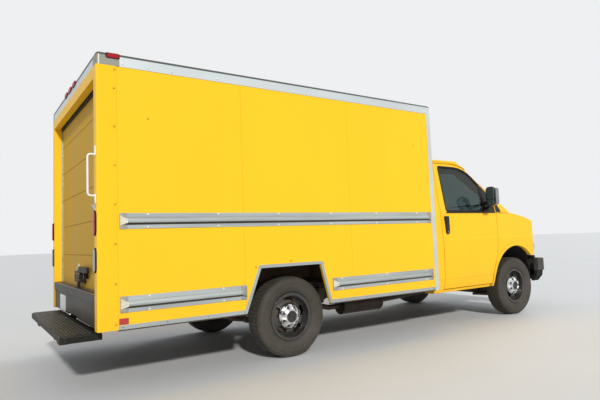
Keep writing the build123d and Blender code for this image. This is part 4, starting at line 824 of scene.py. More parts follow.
# how far the arm stands out from the glass, over the blade and at its pivot
ARM_OUT, PIVOT_OUT = 0.026, 0.018
WIPER_ARM = (
    # share of the way from the pivot to the blade's middle, half width, half height
    (0.0, 0.013, 0.016), (0.12, 0.013, 0.016), (0.3, 0.007, 0.009), (1.0, 0.005, 0.006),
)


def on_screen(across, up):
    return touch(screen_skin, SCREEN_FOOT + Vector((0, across, 0)) + screen_up * up, screen_out)


for number, (pivot, foot, tip) in enumerate(WIPERS):
    stations = []
    for step in range(WIPER_STEPS + 1):
        t = step / WIPER_STEPS
        base = on_screen(foot[0] + (tip[0] - foot[0]) * t, foot[1] + (tip[1] - foot[1]) * t)
        tall = BLADE_TALL + BLADE_TALL * sin(pi * t)
        stations.append([
            base + screen_up * side * wide + screen_out * out
            for side, wide, out in ((-1, 0.004, 0.001), (-1, 0.006, tall), (1, 0.006, tall), (1, 0.004, 0.001))
        ])
    blade = loft(f"wiper_blade_{number}", stations, seal_rubber)
    middle = on_screen((foot[0] + tip[0]) / 2, (foot[1] + tip[1]) / 2) + screen_out * ARM_OUT
    start = on_screen(*pivot) + screen_out * PIVOT_OUT
    aside = (middle - start).normalized().cross(screen_out).normalized()
    arm = loft(f"wiper_arm_{number}", [
        [
            start + (middle - start) * t + aside * wide * i + screen_out * tall * j
            for i, j in oblong(-1, 1, -1, 1)
        ]
        for t, wide, tall in WIPER_ARM
    ], sail_black)
    fit("chassis", "black_plastic", blade, arm)


# Dashboard: a moulded grey top over the whole width, with two dials and four air vents.
# The steering wheel has a grained black rim and a padded middle.

cab_plastic = finish(
    "cab plastic", (0.06, 0.06, 0.065), 0.58, tone=0.1, patch=0.12, dust=0.0, ledges=0.0, wear=0.2,
    worn=(0.1, 0.1, 0.1), grain=0.0012, depth=0.00015, Specular_IOR_Level=0.3,
)
wheel_grain = finish(
    "wheel grain", (0.016, 0.016, 0.017), 0.45, tone=0.12, patch=0.05, dust=0.0, wear=0.3,
    worn=(0.06, 0.06, 0.06), grain=0.0008, depth=0.00012,
)
dress(cab_plastic, "dashboard")
dress(wheel_grain, "steering_wheel")
dial_face = finish("dial face", (0.01, 0.01, 0.012), 0.3, dust=0.0, wear=0.0, Coat_Weight=1.0)

DASH_VENTS = (-0.78, -0.12, 0.10, 0.78)
VENT_LOW, VENT_HIGH, VENT_HALF, VENT_THICK, VENT_ROUND = 1.075, 1.155, 0.062, 0.007, 0.014
# each slat is a row of small domes that run into one another
VENT_SLATS = (1.087, 1.1057, 1.1244, 1.1431)
SLAT_HALF, SLAT_OUT, SLAT_DOMES, DOME_RADIUS, DOME_HEIGHT = 0.054, 0.0075, 13, 0.0045, 0.003
DASH_DIALS = (0.31, 0.49)
DIAL_Z, DIAL_RADIUS, DIAL_STEPS, DIAL_THICK = 1.115, 0.055, 28, 0.006
DASH_X = FRONT_AXLE_X - 0.45
REARWARD = Vector((-1, 0, 0))
dash_skin = skin_of("dashboard")


def on_dash(y, z):
    return touch(dash_skin, (DASH_X, y, z), REARWARD)


for number, y in enumerate(DASH_VENTS):
    corners = [on_dash(*place) for place in oblong(y - VENT_HALF, y + VENT_HALF, VENT_LOW, VENT_HIGH)]
    vent = slab(f"vent_{number}", round_off(corners, VENT_ROUND), REARWARD, VENT_THICK, wheel_grain)
    fit("chassis", "grey_plastic", vent)
    slats = []
    for z in VENT_SLATS:
        ends = [on_dash(y + i * SLAT_HALF, z) + REARWARD * SLAT_OUT for i in (-1, 1)]
        slats.append((*ends, SLAT_DOMES, DOME_RADIUS, DOME_HEIGHT, REARWARD))
    rivet_rows(f"vent_slats_{number}", slats, cab_plastic, "chassis", "grey_plastic")
for number, y in enumerate(DASH_DIALS):
    middle = on_dash(y, DIAL_Z)
    outline = [
        touch(dash_skin, (middle.x, y + DIAL_RADIUS * cos(turn), DIAL_Z + DIAL_RADIUS * sin(turn)), REARWARD)
        for turn in full_turn(DIAL_STEPS)
    ]
    fit("chassis", "black_plastic", slab(f"dial_{number}", outline, REARWARD, DIAL_THICK, dial_face))


# Seats: foam pads under woven cloth, sewn in channels, on a pressed steel base. The covers
# are blown up like the real foam swells, and the channels are drawn in afterwards.

SEAT_MIDDLES = (0.42, -0.42)
SEAT_FORMS = (
    # outline seen from the side (forward of the front axle, height), half width
    (((-1.325, 0.722), (-0.868, 0.722), (-0.838, 0.800), (-0.848, 0.918), (-1.270, 0.890)), 0.232),
    (((-1.402, 0.905), (-1.312, 0.905), (-1.400, 1.462), (-1.456, 1.462)), 0.225),
    (((-1.474, 1.530), (-1.406, 1.530), (-1.412, 1.668), (-1.462, 1.668)), 0.112),
)
SEAT_NET = 0.014
PAD_ROUND = 0.022
AIR_PRESSURE, AIR_FRAMES = 4.0, 20
SEAT_SWELL = 0.022
CUSHION_TOP, BACK_TOP = 0.96, 1.5
# channels from front to back, and across the cushion and the back
CHANNELS = (-0.155, -0.052, 0.052, 0.155)
CUSHION_CHANNELS = (-1.010, -1.150)
BACK_CHANNELS = (1.12, 1.33)
CHANNELS_END = 0.17
CHANNEL_WIDTH, CHANNEL_DEPTH, CHANNEL_CURVE = 0.009, 0.009, 0.7
UNDERSIDE = -0.4
SEAT_BASE = (
    # height, rear, front (forward of the front axle), half width
    (0.600, -1.330, -0.900, 0.200), (0.612, -1.330, -0.900, 0.200), (0.640, -1.290, -0.930, 0.178),
    (0.700, -1.290, -0.920, 0.178), (0.722, -1.310, -0.880, 0.205), (0.732, -1.310, -0.880, 0.205),
)
POST_OFFSETS = (-0.055, 0.055)
POST_X, POST_RADIUS, POST_STEPS = -1.436, 0.006, 10
POST_HEIGHTS = (1.44, 1.49, 1.55)

tree, given, result = effect("Cloth weave", {"Thread": 0.004}, {"Height": "Float", "Shade": "Float"})
weave_effect = tree
place = object_place(tree)
feeds = {"Vector": place, "Scale": sums(tree, "DIVIDE", pi / 10, given["Thread"]), "Distortion": 0.6}
warp, weft = (
    put(tree, "TexWave", feeds, bands_direction=direction).outputs["Fac"] for direction in ("Y", "DIAGONAL")
)
threads = sums(tree, "MAXIMUM", warp, weft)
tree.links.new(threads, result["Height"])
tree.links.new(sums(tree, "MULTIPLY", threads, noise(tree, place, 0.01, 4.0)), result["Shade"])

seat_cloth, tree = bare_material("seat cloth")
weave = put(tree, "Group", {"Thread": 0.005}, node_tree=weave_effect).outputs
worn_patch = remap(tree, noise(tree, object_place(tree), 0.2, 5.0), 0.4, 0.75)
colour = blend_colour(tree, weave["Shade"], (0.035, 0.037, 0.042), (0.10, 0.105, 0.115))
colour = blend_colour(tree, sums(tree, "MULTIPLY", worn_patch, 0.35), colour, (0.15, 0.145, 0.14))
put(tree, "OutputMaterial", {"Surface": put(tree, "BsdfPrincipled", {
    "Base Color": colour, "Roughness": remap(tree, worn_patch, 0.0, 1.0, 0.95, 0.8),
    "Normal": put(tree, "Bump", {"Height": weave["Height"], "Distance": 0.0006, "Strength": 1.0}),
    "Sheen Weight": 0.4, "Specular IOR Level": 0.2,
})})

points, faces = [], []
for middle in SEAT_MIDDLES:
    for outline, half in SEAT_FORMS:
        count, start = len(outline), len(points)
        for y in (middle - half, middle + half):
            points += [(FRONT_AXLE_X + x, y, z) for x, z in outline]
        near, far = range(start, start + count), range(start + count, start + 2 * count)
        faces += [tuple(near), tuple(far)]
        faces += [(near[i], near[(i + 1) % count], far[(i + 1) % count], far[i]) for i in range(count)]
seat_pads = mesh_object("seat_pads", points, faces, seat_cloth)
softened = seat_pads.modifiers.new("softened edges", "BEVEL")
softened.width, softened.segments = PAD_ROUND, 3
even = seat_pads.modifiers.new("even net", "REMESH")
even.mode, even.voxel_size = "VOXEL", SEAT_NET
net = made_real(seat_pads)
air = seat_pads.modifiers.new("air", "CLOTH")
air.settings.use_pressure = True
air.settings.uniform_pressure_force = AIR_PRESSURE
air.settings.effector_weights.gravity = 0.0
air.point_cache.frame_start, air.point_cache.frame_end = 1, AIR_FRAMES
for number in range(AIR_FRAMES):
    scene.frame_set(number + 1)
blown = seat_pads.evaluated_get(bpy.context.evaluated_depsgraph_get()).data
swollen = [vertex.co.copy() for vertex in blown.vertices]
seat_pads.modifiers.clear()
for vertex, after in zip(net.vertices, swollen):
    move = after - vertex.co
    vertex.co += move * min(1.0, SEAT_SWELL / max(move.length, 1e-9))
scene.frame_set(1)
finer = seat_pads.modifiers.new("finer net", "SUBSURF")
finer.levels = finer.render_levels = 1
net = made_real(seat_pads)
normals = [vertex.normal.copy() for vertex in net.vertices]
for vertex, normal in zip(net.vertices, normals):
    x, height = vertex.co.x - FRONT_AXLE_X, vertex.co.z
    across = vertex.co.y - SEAT_MIDDLES[0 if vertex.co.y > 0 else 1]
    if height > BACK_TOP or normal.z < UNDERSIDE:
        continue
    apart = [abs(across - line) for line in CHANNELS if abs(across) < CHANNELS_END]
    if abs(across) < CHANNELS[-1]:
        if height < CUSHION_TOP:
            apart += [abs(x - line) for line in CUSHION_CHANNELS]
        else:
            apart += [abs(height - line) for line in BACK_CHANNELS]
    drawn = max(0.0, 1.0 - min(apart, default=1.0) / CHANNEL_WIDTH)
    vertex.co -= normal * CHANNEL_DEPTH * drawn ** CHANNEL_CURVE
for face in net.polygons:
    face.use_smooth = True
net.materials.clear()
net.materials.append(seat_cloth)
fit("chassis", "seat_cloth", seat_pads)
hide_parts("seats")

for number, middle in enumerate(SEAT_MIDDLES):
    fit("chassis", "dark_steel", loft(f"seat_base_{number}", [
        [(FRONT_AXLE_X + x, y, z) for x, y in oblong(rear, front, middle - half, middle + half)]
        for z, rear, front, half in SEAT_BASE
    ], primer_black))
    for offset in POST_OFFSETS:
        y = middle + offset
        name = f"head_post_{number}_{int(y * 1000)}".replace("-", "m")
        fit("chassis", "dark_steel", loft(name, [
            [
                (FRONT_AXLE_X + POST_X + POST_RADIUS * cos(turn), y + POST_RADIUS * sin(turn), z)
                for turn in full_turn(POST_STEPS)
            ]
            for z in POST_HEIGHTS
        ], lock_metal))


# Cargo box: plywood-cored panels skinned in yellow, butted at faint upright joints and
# fixed to the frame by rows of painted rivets.

BOX_REAR = -2.9605
BOX_FRONT = 0.7445
BOX_HALF = 1.067
FLOOR_TOP = 0.735
WALL_FACE = 1.063
POST_INNER = 0.980
PANEL_JOINTS = (-1.7355, -0.5255)
BOX_YELLOW = (0.95, 0.54, 0.014)
# well past any end of the truck, for zones that are open on a side
FAR = 9.0

tree, given, result = effect(
    "Panel joints", {"First joint": 0.0, "Second joint": 1.0, "Half width": 0.0015}, {"Joint": "Float"}
)
joint_effect = tree
along = split(tree, object_place(tree))["X"]
off_first, off_second = (
    sums(tree, "ABSOLUTE", sums(tree, "SUBTRACT", along, given[joint]))
    for joint in ("First joint", "Second joint")
)
nearest = sums(tree, "MINIMUM", off_first, off_second)
tree.links.new(sums(tree, "LESS_THAN", nearest, given["Half width"]), result["Joint"])

# Below the bottom rail's edge the paint turns near black: painted shade under the rail.
box_paint = finish(
    "box paint", BOX_YELLOW, 0.4, tone=0.03, patch=0.9, stretch=(1.0, 1.0, 0.35), dust=0.16,
    clean_above=0.9, ledges=0.0, wear=0.1, worn=(0.5, 0.29, 0.02), edge=0.004, grain=0.9,
    depth=0.003, grain_stretch=(1.6, 1.0, 0.5), dust_colour=(0.5, 0.3, 0.06),
    Coat_Weight=0.1, Coat_Roughness=0.15, Specular_IOR_Level=0.2,
    zones=(((-FAR, -1.0, 0.0), (FAR, FAR, 0.4665), (0.04, 0.04, 0.04)),),
)
dress(box_paint, "box_front_wall")
side_paint = box_paint.copy()
side_paint.name = "side panel paint"
tree = side_paint.node_tree
shader = next(node for node in tree.nodes if node.type == "BSDF_PRINCIPLED")
plain = shader.inputs["Base Color"].links[0].from_socket
joint = put(
    tree, "Group", {"First joint": PANEL_JOINTS[0], "Second joint": PANEL_JOINTS[1]}, node_tree=joint_effect
)
faint = sums(tree, "MULTIPLY", joint.outputs[0], 0.55)
tree.links.new(blend_colour(tree, faint, plain, (0.28, 0.14, 0.01)), shader.inputs["Base Color"])
dress(side_paint, "box_side_left", "box_side_right")

plywood = finish(
    "plywood", (0.050, 0.030, 0.019), 0.75, tone=0.3, patch=0.08, stretch=(0.2, 2.0, 1.0), dust=0.0,
    ledges=0.0, wear=0.0, Specular_IOR_Level=0.15, grain=0.004, depth=0.0003,
    grain_stretch=(0.05, 1.0, 1.0), zones=tuple(
        ((rear, -1.0, 0.729), (front, half, 0.741), (0.40, 0.26, 0.13))
        for rear, front, half in ((-FAR, -1.84, POST_INNER), (-1.84, -0.70, 0.5), (-0.70, FAR, POST_INNER))
    ),
)
dress(plywood, "box_floor")
roof_skin = finish("roof skin", (0.6, 0.6, 0.58), 0.5, tone=0.15, dust=0.4, ledges=0.5, Metallic=0.3)
dress(roof_skin, "box_roof")


# Outer rails: extruded aluminium with cast rear corners, a dark drip edge along the roof,
# and rivets at an even pitch.

EXTRUDED = {
    "clean_above": 0.7, "ledges": 0.0, "worn": (0.62, 0.65, 0.66), "edge": 0.002, "grain": 0.0015,
    "grain_stretch": (0.02, 1.0, 1.0), "Specular_IOR_Level": 0.3,
}
weathered_aluminium = finish(
    "weathered aluminium", (0.42, 0.46, 0.46), 0.4, tone=0.14, patch=0.22, stretch=(0.3, 1.0, 2.0),
    dust=0.1, wear=0.25, depth=0.00003, dust_colour=(0.3, 0.27, 0.2), Metallic=0.55, **EXTRUDED,
)
CAST_CORNER_FRONT = -2.7845
rail_finish = finish(
    "top rail", (0.60, 0.65, 0.66), 0.42, tone=0.1, patch=0.4, stretch=(0.3, 1.0, 1.0), dust=0.05,
    wear=0.2, depth=0.00003, Metallic=0.5, zones=(
        ((-FAR, 0.965, 2.4), (CAST_CORNER_FRONT, FAR, FAR), (0.27, 0.265, 0.225)),
        ((-FAR, 1.035, 2.562), (FAR, FAR, FAR), (0.10, 0.098, 0.088)),
        ((-FAR, -1.0, 2.545), (BOX_REAR + 0.03, 0.965, FAR), (0.06, 0.058, 0.052)),
    ), **EXTRUDED,
)
dress(rail_finish, "upper_rails")
dress(weathered_aluminium, "bottom_rails")
ivory_rivet = finish(
    "ivory rivet", (0.74, 0.70, 0.56), 0.4, tone=0.1, patch=0.02, dust=0.1, clean_above=0.9, wear=0.0,
    edge=0.001,
)
yellow_rivet = finish(
    "painted rivet", (0.70, 0.36, 0.015), 0.35, tone=0.15, patch=0.05, dust=0.1, clean_above=0.9,
    wear=0.0, edge=0.001, Specular_IOR_Level=0.3,
)

RIVET_LINES = (
    # kind, first and last place (on the left side), how many, head radius, head height
    ("ivory", (-2.762, BOX_HALF, 2.508), (0.638, BOX_HALF, 2.508), 18, 0.0085, 0.006),
    ("ivory", (0.6845, BOX_HALF, 0.560), (0.6845, BOX_HALF, 2.360), 10, 0.0075, 0.005),
    ("ivory", (BOX_FRONT, 1.02, 0.560), (BOX_FRONT, 1.02, 2.360), 10, 0.0075, 0.003),
    ("foot", (-2.776, BOX_HALF, 0.482), (-1.752, BOX_HALF, 0.482), 4, 0.005, 0.0025),
    ("foot", (-0.700, BOX_HALF, 0.482), (0.640, BOX_HALF, 0.482), 5, 0.005, 0.0025),
    ("yellow", (-2.828, BOX_HALF, 0.510), (-2.828, BOX_HALF, 2.310), 7, 0.0105, 0.007),
    ("yellow", (-2.824, BOX_HALF, 2.458), (-2.824, BOX_HALF, 2.458), 1, 0.0105, 0.007),
    ("yellow", (-1.6315, WALL_FACE, 0.862), (-1.6315, WALL_FACE, 0.862), 1, 0.0115, 0.008),
    ("yellow", (-1.2575, WALL_FACE, 0.898), (-1.2575, WALL_FACE, 0.898), 1, 0.0115, 0.008),
    ("yellow", (-0.8915, WALL_FACE, 0.854), (-0.8915, WALL_FACE, 0.854), 1, 0.0115, 0.008),
    ("yellow", (-2.568, WALL_FACE, 2.096), (0.431, WALL_FACE, 2.096), 2, 0.010, 0.007),
)
for name, kind, material, slot in (
    ("rail_rivets", "ivory", ivory_rivet, "aluminium"),
    ("foot_rivets", "foot", chassis_black, "dark_steel"),
    ("post_rivets", "yellow", yellow_rivet, "yellow_paint"),
):
    rivet_rows(name, [
        (
            (start[0], side * start[1], start[2]), (end[0], side * end[1], end[2]), count, radius, height,
            (1, 0, 0) if start[0] == BOX_FRONT else (0, side, 0),
        )
        for _, side in SIDES
        for line, start, end, count, radius, height in RIVET_LINES if line == kind
    ], material, "chassis", slot)


# Rub rails: hat-shaped aluminium extrusions bolted through both flanges, with a dark band of
# painted shade along the lower flank of each bulge. Cast ends close them, and ivory studs hold
# them about every 600 mm.

RUB_RAILS = (
    # middle height, rear end, front end, first stud, last stud, studs
    (1.2815, -2.7955, 0.6515, -2.578, 0.420, 6),
    (0.6505, -2.7955, -1.7265, -2.575, -1.947, 2),
    (0.6425, -0.7865, 0.6425, -0.673, 0.529, 3),
)
STUD_DROP, STUD_RADIUS, STUD_HEIGHT = 0.050, 0.0105, 0.0085
OUTSIDE = 1.2
END_PLATE_BACK, END_PLATE_LONG, END_PLATE_TALL = -0.001, 0.058, 0.0614
END_PLATE_THICK, END_PLATE_ROUND = 0.0075, 0.009
# where the wedge starts below the plate's face, its foot on that face, and its flat top's share
WEDGE_SUNK, WEDGE_FOOT, WEDGE_FLAT = 0.004, 0.0078, 0.72
END_WEDGE = (
    # along from the rail's end, out from the wall, half height
    (0.003, 0.0110, 0.0430), (0.020, 0.0200, 0.0360), (0.040, 0.0285, 0.0270), (0.056, 0.0335, 0.0215),
)
# The dark band along each bulge's lower flank is painted shade.
rub_rail_painted_shade = finish(
    "rub rail", (0.44, 0.485, 0.485), 0.36, tone=0.2, patch=0.15, stretch=(0.15, 1.0, 3.0), dust=0.1,
    wear=0.4, depth=0.00004, Metallic=0.55, zones=tuple(
        ((rear, 1.0, middle - 0.031), (front, 1.2, middle - 0.014), (0.06, 0.052, 0.045))
        for middle, rear, front, *_ in RUB_RAILS
    ), **EXTRUDED,
)
dress(rub_rail_painted_shade, "rub_rails")
cap_ivory = finish(
    "end cap", (0.62, 0.59, 0.49), 0.5, tone=0.25, patch=0.03, dust=0.12, clean_above=1.4,
    worn=(0.34, 0.31, 0.25), depth=0.0002,
)
cap_grey = finish(
    "end plate", (0.34, 0.34, 0.32), 0.45, tone=0.3, patch=0.03, dust=0.15, clean_above=1.4,
    worn=(0.2, 0.17, 0.14), depth=0.0002, Metallic=0.4,
)
rub_skin = skin_of("rub_rails")
stud_rows = []
for side_name, side in SIDES:
    outward = (0, side, 0)
    for number, (middle, rear, front, first, last, count) in enumerate(RUB_RAILS):
        for drop in (-STUD_DROP, STUD_DROP):
            y = touch(rub_skin, (0.5 * (first + last), side * OUTSIDE, middle + drop), outward).y
            ends = [(x, y, middle + drop) for x in (first, last)]
            stud_rows.append((*ends, count, STUD_RADIUS, STUD_HEIGHT, outward))
        # The front wedges take the end plates' grey instead of ivory: painted shade on ends that face away
        # from the light.
        for label, end, ahead, wedge_finish in (("rear", rear, 1, cap_ivory), ("front", front, -1, cap_grey)):
            corners = [
                (end + ahead * x, side * WALL_FACE, middle + z)
                for x, z in oblong(END_PLATE_BACK, END_PLATE_LONG, -END_PLATE_TALL, END_PLATE_TALL)
            ]
            place = f"{side_name}_{number}_{label}"
            corners = round_off(corners, END_PLATE_ROUND)
            plate = slab(f"rail_end_plate_{place}", corners, outward, END_PLATE_THICK, cap_grey)
            wedge = loft(f"rail_end_wedge_{place}", [
                [
                    (end + ahead * along, side * (WALL_FACE + out), middle + up * half)
                    for out, up in (
                        (WEDGE_SUNK, -1), (WEDGE_FOOT, -1), (proud, -WEDGE_FLAT), (proud, WEDGE_FLAT),
                        (WEDGE_FOOT, 1), (WEDGE_SUNK, 1),
                    )
                ]
                for along, proud, half in END_WEDGE
            ], wedge_finish)
            fit("chassis", "cast_metal", plate, wedge)
rivet_rows("rub_rail_studs", stud_rows, ivory_rivet, "chassis", "cast_metal")

reflector_red = finish(
    "red reflector", (0.42, 0.008, 0.012), 0.25, tone=0.15, patch=0.01, dust=0.1, wear=0.0,
    grain=0.003, depth=0.0003, Coat_Weight=0.6,
)
REFLECTOR_X, REFLECTOR_Z = -2.769, 0.5255
REFLECTOR_LONG, REFLECTOR_TALL, REFLECTOR_THICK, REFLECTOR_ROUND = 0.070, 0.047, 0.003, 0.003
for side_name, side in SIDES:
    fit("chassis", "red_lens", panel(
        f"side_reflector_{side_name}", (REFLECTOR_X, side * WALL_FACE, REFLECTOR_Z),
        (REFLECTOR_LONG / 2, 0, 0), (0, 0, REFLECTOR_TALL / 2), (0, side, 0), REFLECTOR_THICK,
        reflector_red, REFLECTOR_ROUND,
    ))


# Rear frame: welded steel posts and header in yellow, over a black steel sill whose lip
# is chequered plate worn bright at its edge.

frame_paint = finish(
    "rear frame paint", BOX_YELLOW, 0.42, tone=0.06, patch=0.4, stretch=(1.0, 1.0, 0.4), dust=0.14,
    clean_above=1.0, ledges=0.2, wear=0.55, worn=(0.4, 0.2, 0.03), edge=0.004,
    dust_colour=(0.4, 0.24, 0.06), Specular_IOR_Level=0.15, Coat_Weight=0.05, Coat_Roughness=0.2,
    zones=(((-FAR, -1.0, 0.0), (FAR, POST_INNER, FLOOR_TOP + 0.001), (0.010, 0.011, 0.010)),),
)
dress(frame_paint, "rear_frame")
tread_black = finish(
    "chequered plate", (0.007, 0.010, 0.008), 0.5, tone=0.4, patch=0.05, dust=0.12, ledges=0.12,
    dust_colour=(0.12, 0.075, 0.045), wear=0.9, worn=(0.16, 0.13, 0.09), edge=0.004,
    Specular_IOR_Level=0.15,
)
dress(tread_black, "step_bumper")
bar_steel = finish(
    "chequer bars", (0.10, 0.083, 0.06), 0.3, tone=0.9, patch=0.06, dust=0.2, wear=0.9,
    worn=(0.5, 0.42, 0.3), edge=0.002, Metallic=0.6, dust_colour=(0.22, 0.11, 0.05),
)
rust = finish(
    "rusty steel", (0.16, 0.06, 0.025), 0.75, tone=0.5, patch=0.02, dust=0.2, wear=0.4,
    worn=(0.3, 0.13, 0.05), grain=0.003, depth=0.0004,
)
worn_lip = finish("worn lip", (0.42, 0.36, 0.27), 0.35, tone=0.5, patch=0.08, dust=0.3, Metallic=0.6)
plate_white = finish(
    "blank plate", (0.72, 0.73, 0.72), 0.35, tone=0.05, patch=0.05, dust=0.15, wear=0.3, edge=0.002,
    worn=(0.4, 0.4, 0.4),
)

STEP_TOP = 0.439
CHEQUERS = (
    # name, middle, along x, along y, rows along x, rows along y
    ("sill_chequers", (BOX_REAR + 0.037, 0.0, FLOOR_TOP), 0.052, 1.930, 3, 75),
    ("step_chequers", (BOX_REAR - 0.100, 0.0, STEP_TOP), 0.190, 1.700, 8, 66),
)
CHEQUER_BAR = (0.0125, 0.0036, 0.0018)
STEP_ARMS = (0.61, -0.61)
STEP_ARM_HALF = 0.035
STEP_ARM = (
    # height, rear, front
    (0.340, -3.150, -3.090), (0.348, -3.158, -3.080), (0.394, -3.165, -3.060),
)
LIP_EDGES = (
    # rear, front, from the box's rear end
    (0.0015, 0.0065), (0.0625, 0.0675),
)
LIP_HALF, LIP_THICK, LIP_BEVEL = 0.978, 0.0015, 0.0004
PLATE_MIDDLE = Vector((BOX_REAR + 0.014, 0.532, 0.556))
PLATE_WIDE, PLATE_TALL, PLATE_THICK = 0.305, 0.152, 0.002
SCREW_ASIDE, SCREW_Z, SCREW_RADIUS, SCREW_HEIGHT = 0.089, 0.617, 0.006, 0.003
CHEQUER_SIZES = {
    "Middle": "Vector", "Long": "Float", "Wide": "Float", "Rows along": "Int", "Rows across": "Int",
    "Bar size": "Vector",
}

tree, given = geometry_tree("Chequer bars", CHEQUER_SIZES)
chequer_tree = tree
net = put(tree, "MeshGrid", {
    "Size X": given["Long"], "Size Y": given["Wide"], "Vertices X": given["Rows along"],
    "Vertices Y": given["Rows across"],
})
# one bar leans left and the next right, both along the rows and across them
index = put(tree, "InputIndex")
column = sums(tree, "FLOOR", sums(tree, "DIVIDE", sums(tree, "ADD", index, 0.5), given["Rows across"]))
shifted = sums(tree, "MULTIPLY", column, sums(tree, "ADD", given["Rows across"], 1.0))
lean = sums(tree, "MODULO", sums(tree, "ADD", index, shifted), 2.0)
turned = sums(tree, "ADD", sums(tree, "MULTIPLY", lean, pi / 2), pi / 4)
ball = put(tree, "MeshIcoSphere", {"Radius": 1.0, "Subdivisions": 1})
bars = put(tree, "InstanceOnPoints", {
    "Points": net, "Instance": put(tree, "Transform", {"Geometry": ball, "Scale": given["Bar size"]}),
    "Rotation": put(tree, "CombineXYZ", {"Z": turned}),
})
close_tree(tree, given, put(tree, "Transform", {"Geometry": bars, "Translation": given["Middle"]}))

for name, *sizes in CHEQUERS:
    piece = mesh_object(name, [], [], bar_steel)
    grow(piece, chequer_tree, CHEQUER_SIZES, [(*sizes, CHEQUER_BAR)], bar_steel)
    fit("chassis", "dark_steel", piece)
for number, middle in enumerate(STEP_ARMS):
    fit("chassis", "dark_steel", loft(f"step_arm_{number}", [
        [(x, y, z) for x, y in oblong(rear, front, middle - STEP_ARM_HALF, middle + STEP_ARM_HALF)]
        for z, rear, front in STEP_ARM
    ], rust))
for number, (rear, front) in enumerate(LIP_EDGES):
    corners = [Vector((BOX_REAR + x, y, FLOOR_TOP)) for x, y in oblong(rear, front, -LIP_HALF, LIP_HALF)]
    lip = slab(f"lip_edge_{number}", corners, (0, 0, 1), LIP_THICK, worn_lip, bevel=LIP_BEVEL)
    fit("chassis", "dark_steel", lip)
fit("chassis", "white_enamel", panel(
    "rear_plate", PLATE_MIDDLE, (0, PLATE_WIDE / 2, 0), (0, 0, PLATE_TALL / 2), REARWARD,
    PLATE_THICK, plate_white,
))
screws = [(PLATE_MIDDLE.x - PLATE_THICK, PLATE_MIDDLE.y + i * SCREW_ASIDE, SCREW_Z) for i in (-1, 1)]
screws = (*screws, 2, SCREW_RADIUS, SCREW_HEIGHT, REARWARD)
rivet_rows("plate_screws", [screws], lock_metal, "chassis", "dark_steel")


# Roll-up door: plywood panels painted a darker yellow than the box, hinged together, with
# rollers in steel tracks. A black seal hangs along its top and a strip runs down each side.

door_paint = finish(
    "roll-up door paint", (0.56, 0.33, 0.02), 0.55, tone=0.08, patch=0.5, stretch=(1.0, 1.0, 0.3),
    dust=0.25, clean_above=1.6, ledges=0.1, wear=0.4, worn=(0.35, 0.2, 0.05),
    dust_colour=(0.4, 0.25, 0.08), grain=0.006, depth=0.0002, grain_stretch=(1.0, 1.0, 0.06),
    Specular_IOR_Level=0.15,
)
dress(door_paint, "roll_up_door")
galvanised = finish(
    "galvanised steel", (0.42, 0.43, 0.42), 0.42, tone=0.25, patch=0.02, dust=0.25, Metallic=0.7,
)
dress(galvanised, "door_tracks")

DOOR_FACE = BOX_REAR + 0.085
STRIP_OUT, STRIP_THICK = 0.004, 0.010
DOOR_STRIPS = (
    # name, material, slot: y from, y to, z from, z to
    ("door_top_seal", seal_rubber, "black_plastic", -0.952, 0.952, 2.366, 2.392),
    ("door_side_seal_left", galvanised, "aluminium", 0.952, 0.980, 0.740, 2.385),
    ("door_side_seal_right", galvanised, "aluminium", -0.980, -0.952, 0.740, 2.385),
)
for name, material, slot, *edges in DOOR_STRIPS:
    corners = [Vector((DOOR_FACE - STRIP_OUT, y, z)) for y, z in oblong(*edges)]
    fit("chassis", slot, slab(name, corners, REARWARD, STRIP_THICK, material, sunk=STRIP_THICK))


# Door latch: a forged hook and lever on a plated steel back plate, greasy black with
# copper-coloured wear, and a small pale keeper above it.

latch_black = finish(
    "latch steel", (0.010, 0.009, 0.008), 0.5, tone=0.6, patch=0.02, dust=0.05, wear=1.0,
    worn=(0.30, 0.13, 0.05), edge=0.004, Specular_IOR_Level=0.2,
    zones=(((-FAR, -FAR, 0.893), (BOX_REAR + 0.0875, 0.134, FAR), (0.6, 0.56, 0.42)),),
)
dress(latch_black, "door_latch")
latch_brass = finish(
    "latch brass", (0.32, 0.17, 0.07), 0.35, tone=0.5, patch=0.01, dust=0.1, worn=(0.5, 0.3, 0.12),
    Metallic=0.7,
)
LATCH_BOLTS = (
    # in front of the door, first and last (y, z), how many, head radius, head height
    (0.008, (0.095, 0.795), (0.095, 0.872), 2, 0.009, 0.006),
    (0.050, (-0.17, 0.858), (0.0, 0.858), 3, 0.010, 0.008),
    (0.050, (-0.17, 0.806), (0.0, 0.806), 3, 0.008, 0.006),
    (0.008, (0.095, 0.910), (0.095, 0.930), 2, 0.005, 0.003),
)
rivet_rows("latch_bolts", [
    ((DOOR_FACE - out, *first), (DOOR_FACE - out, *last), count, radius, height, REARWARD)
    for out, first, last, count, radius, height in LATCH_BOLTS
], latch_brass, "chassis", "dark_steel")


# Lamps: red and clear oval tail lamps in rubber grommets on the posts, and small red
# markers under the roof's edge.

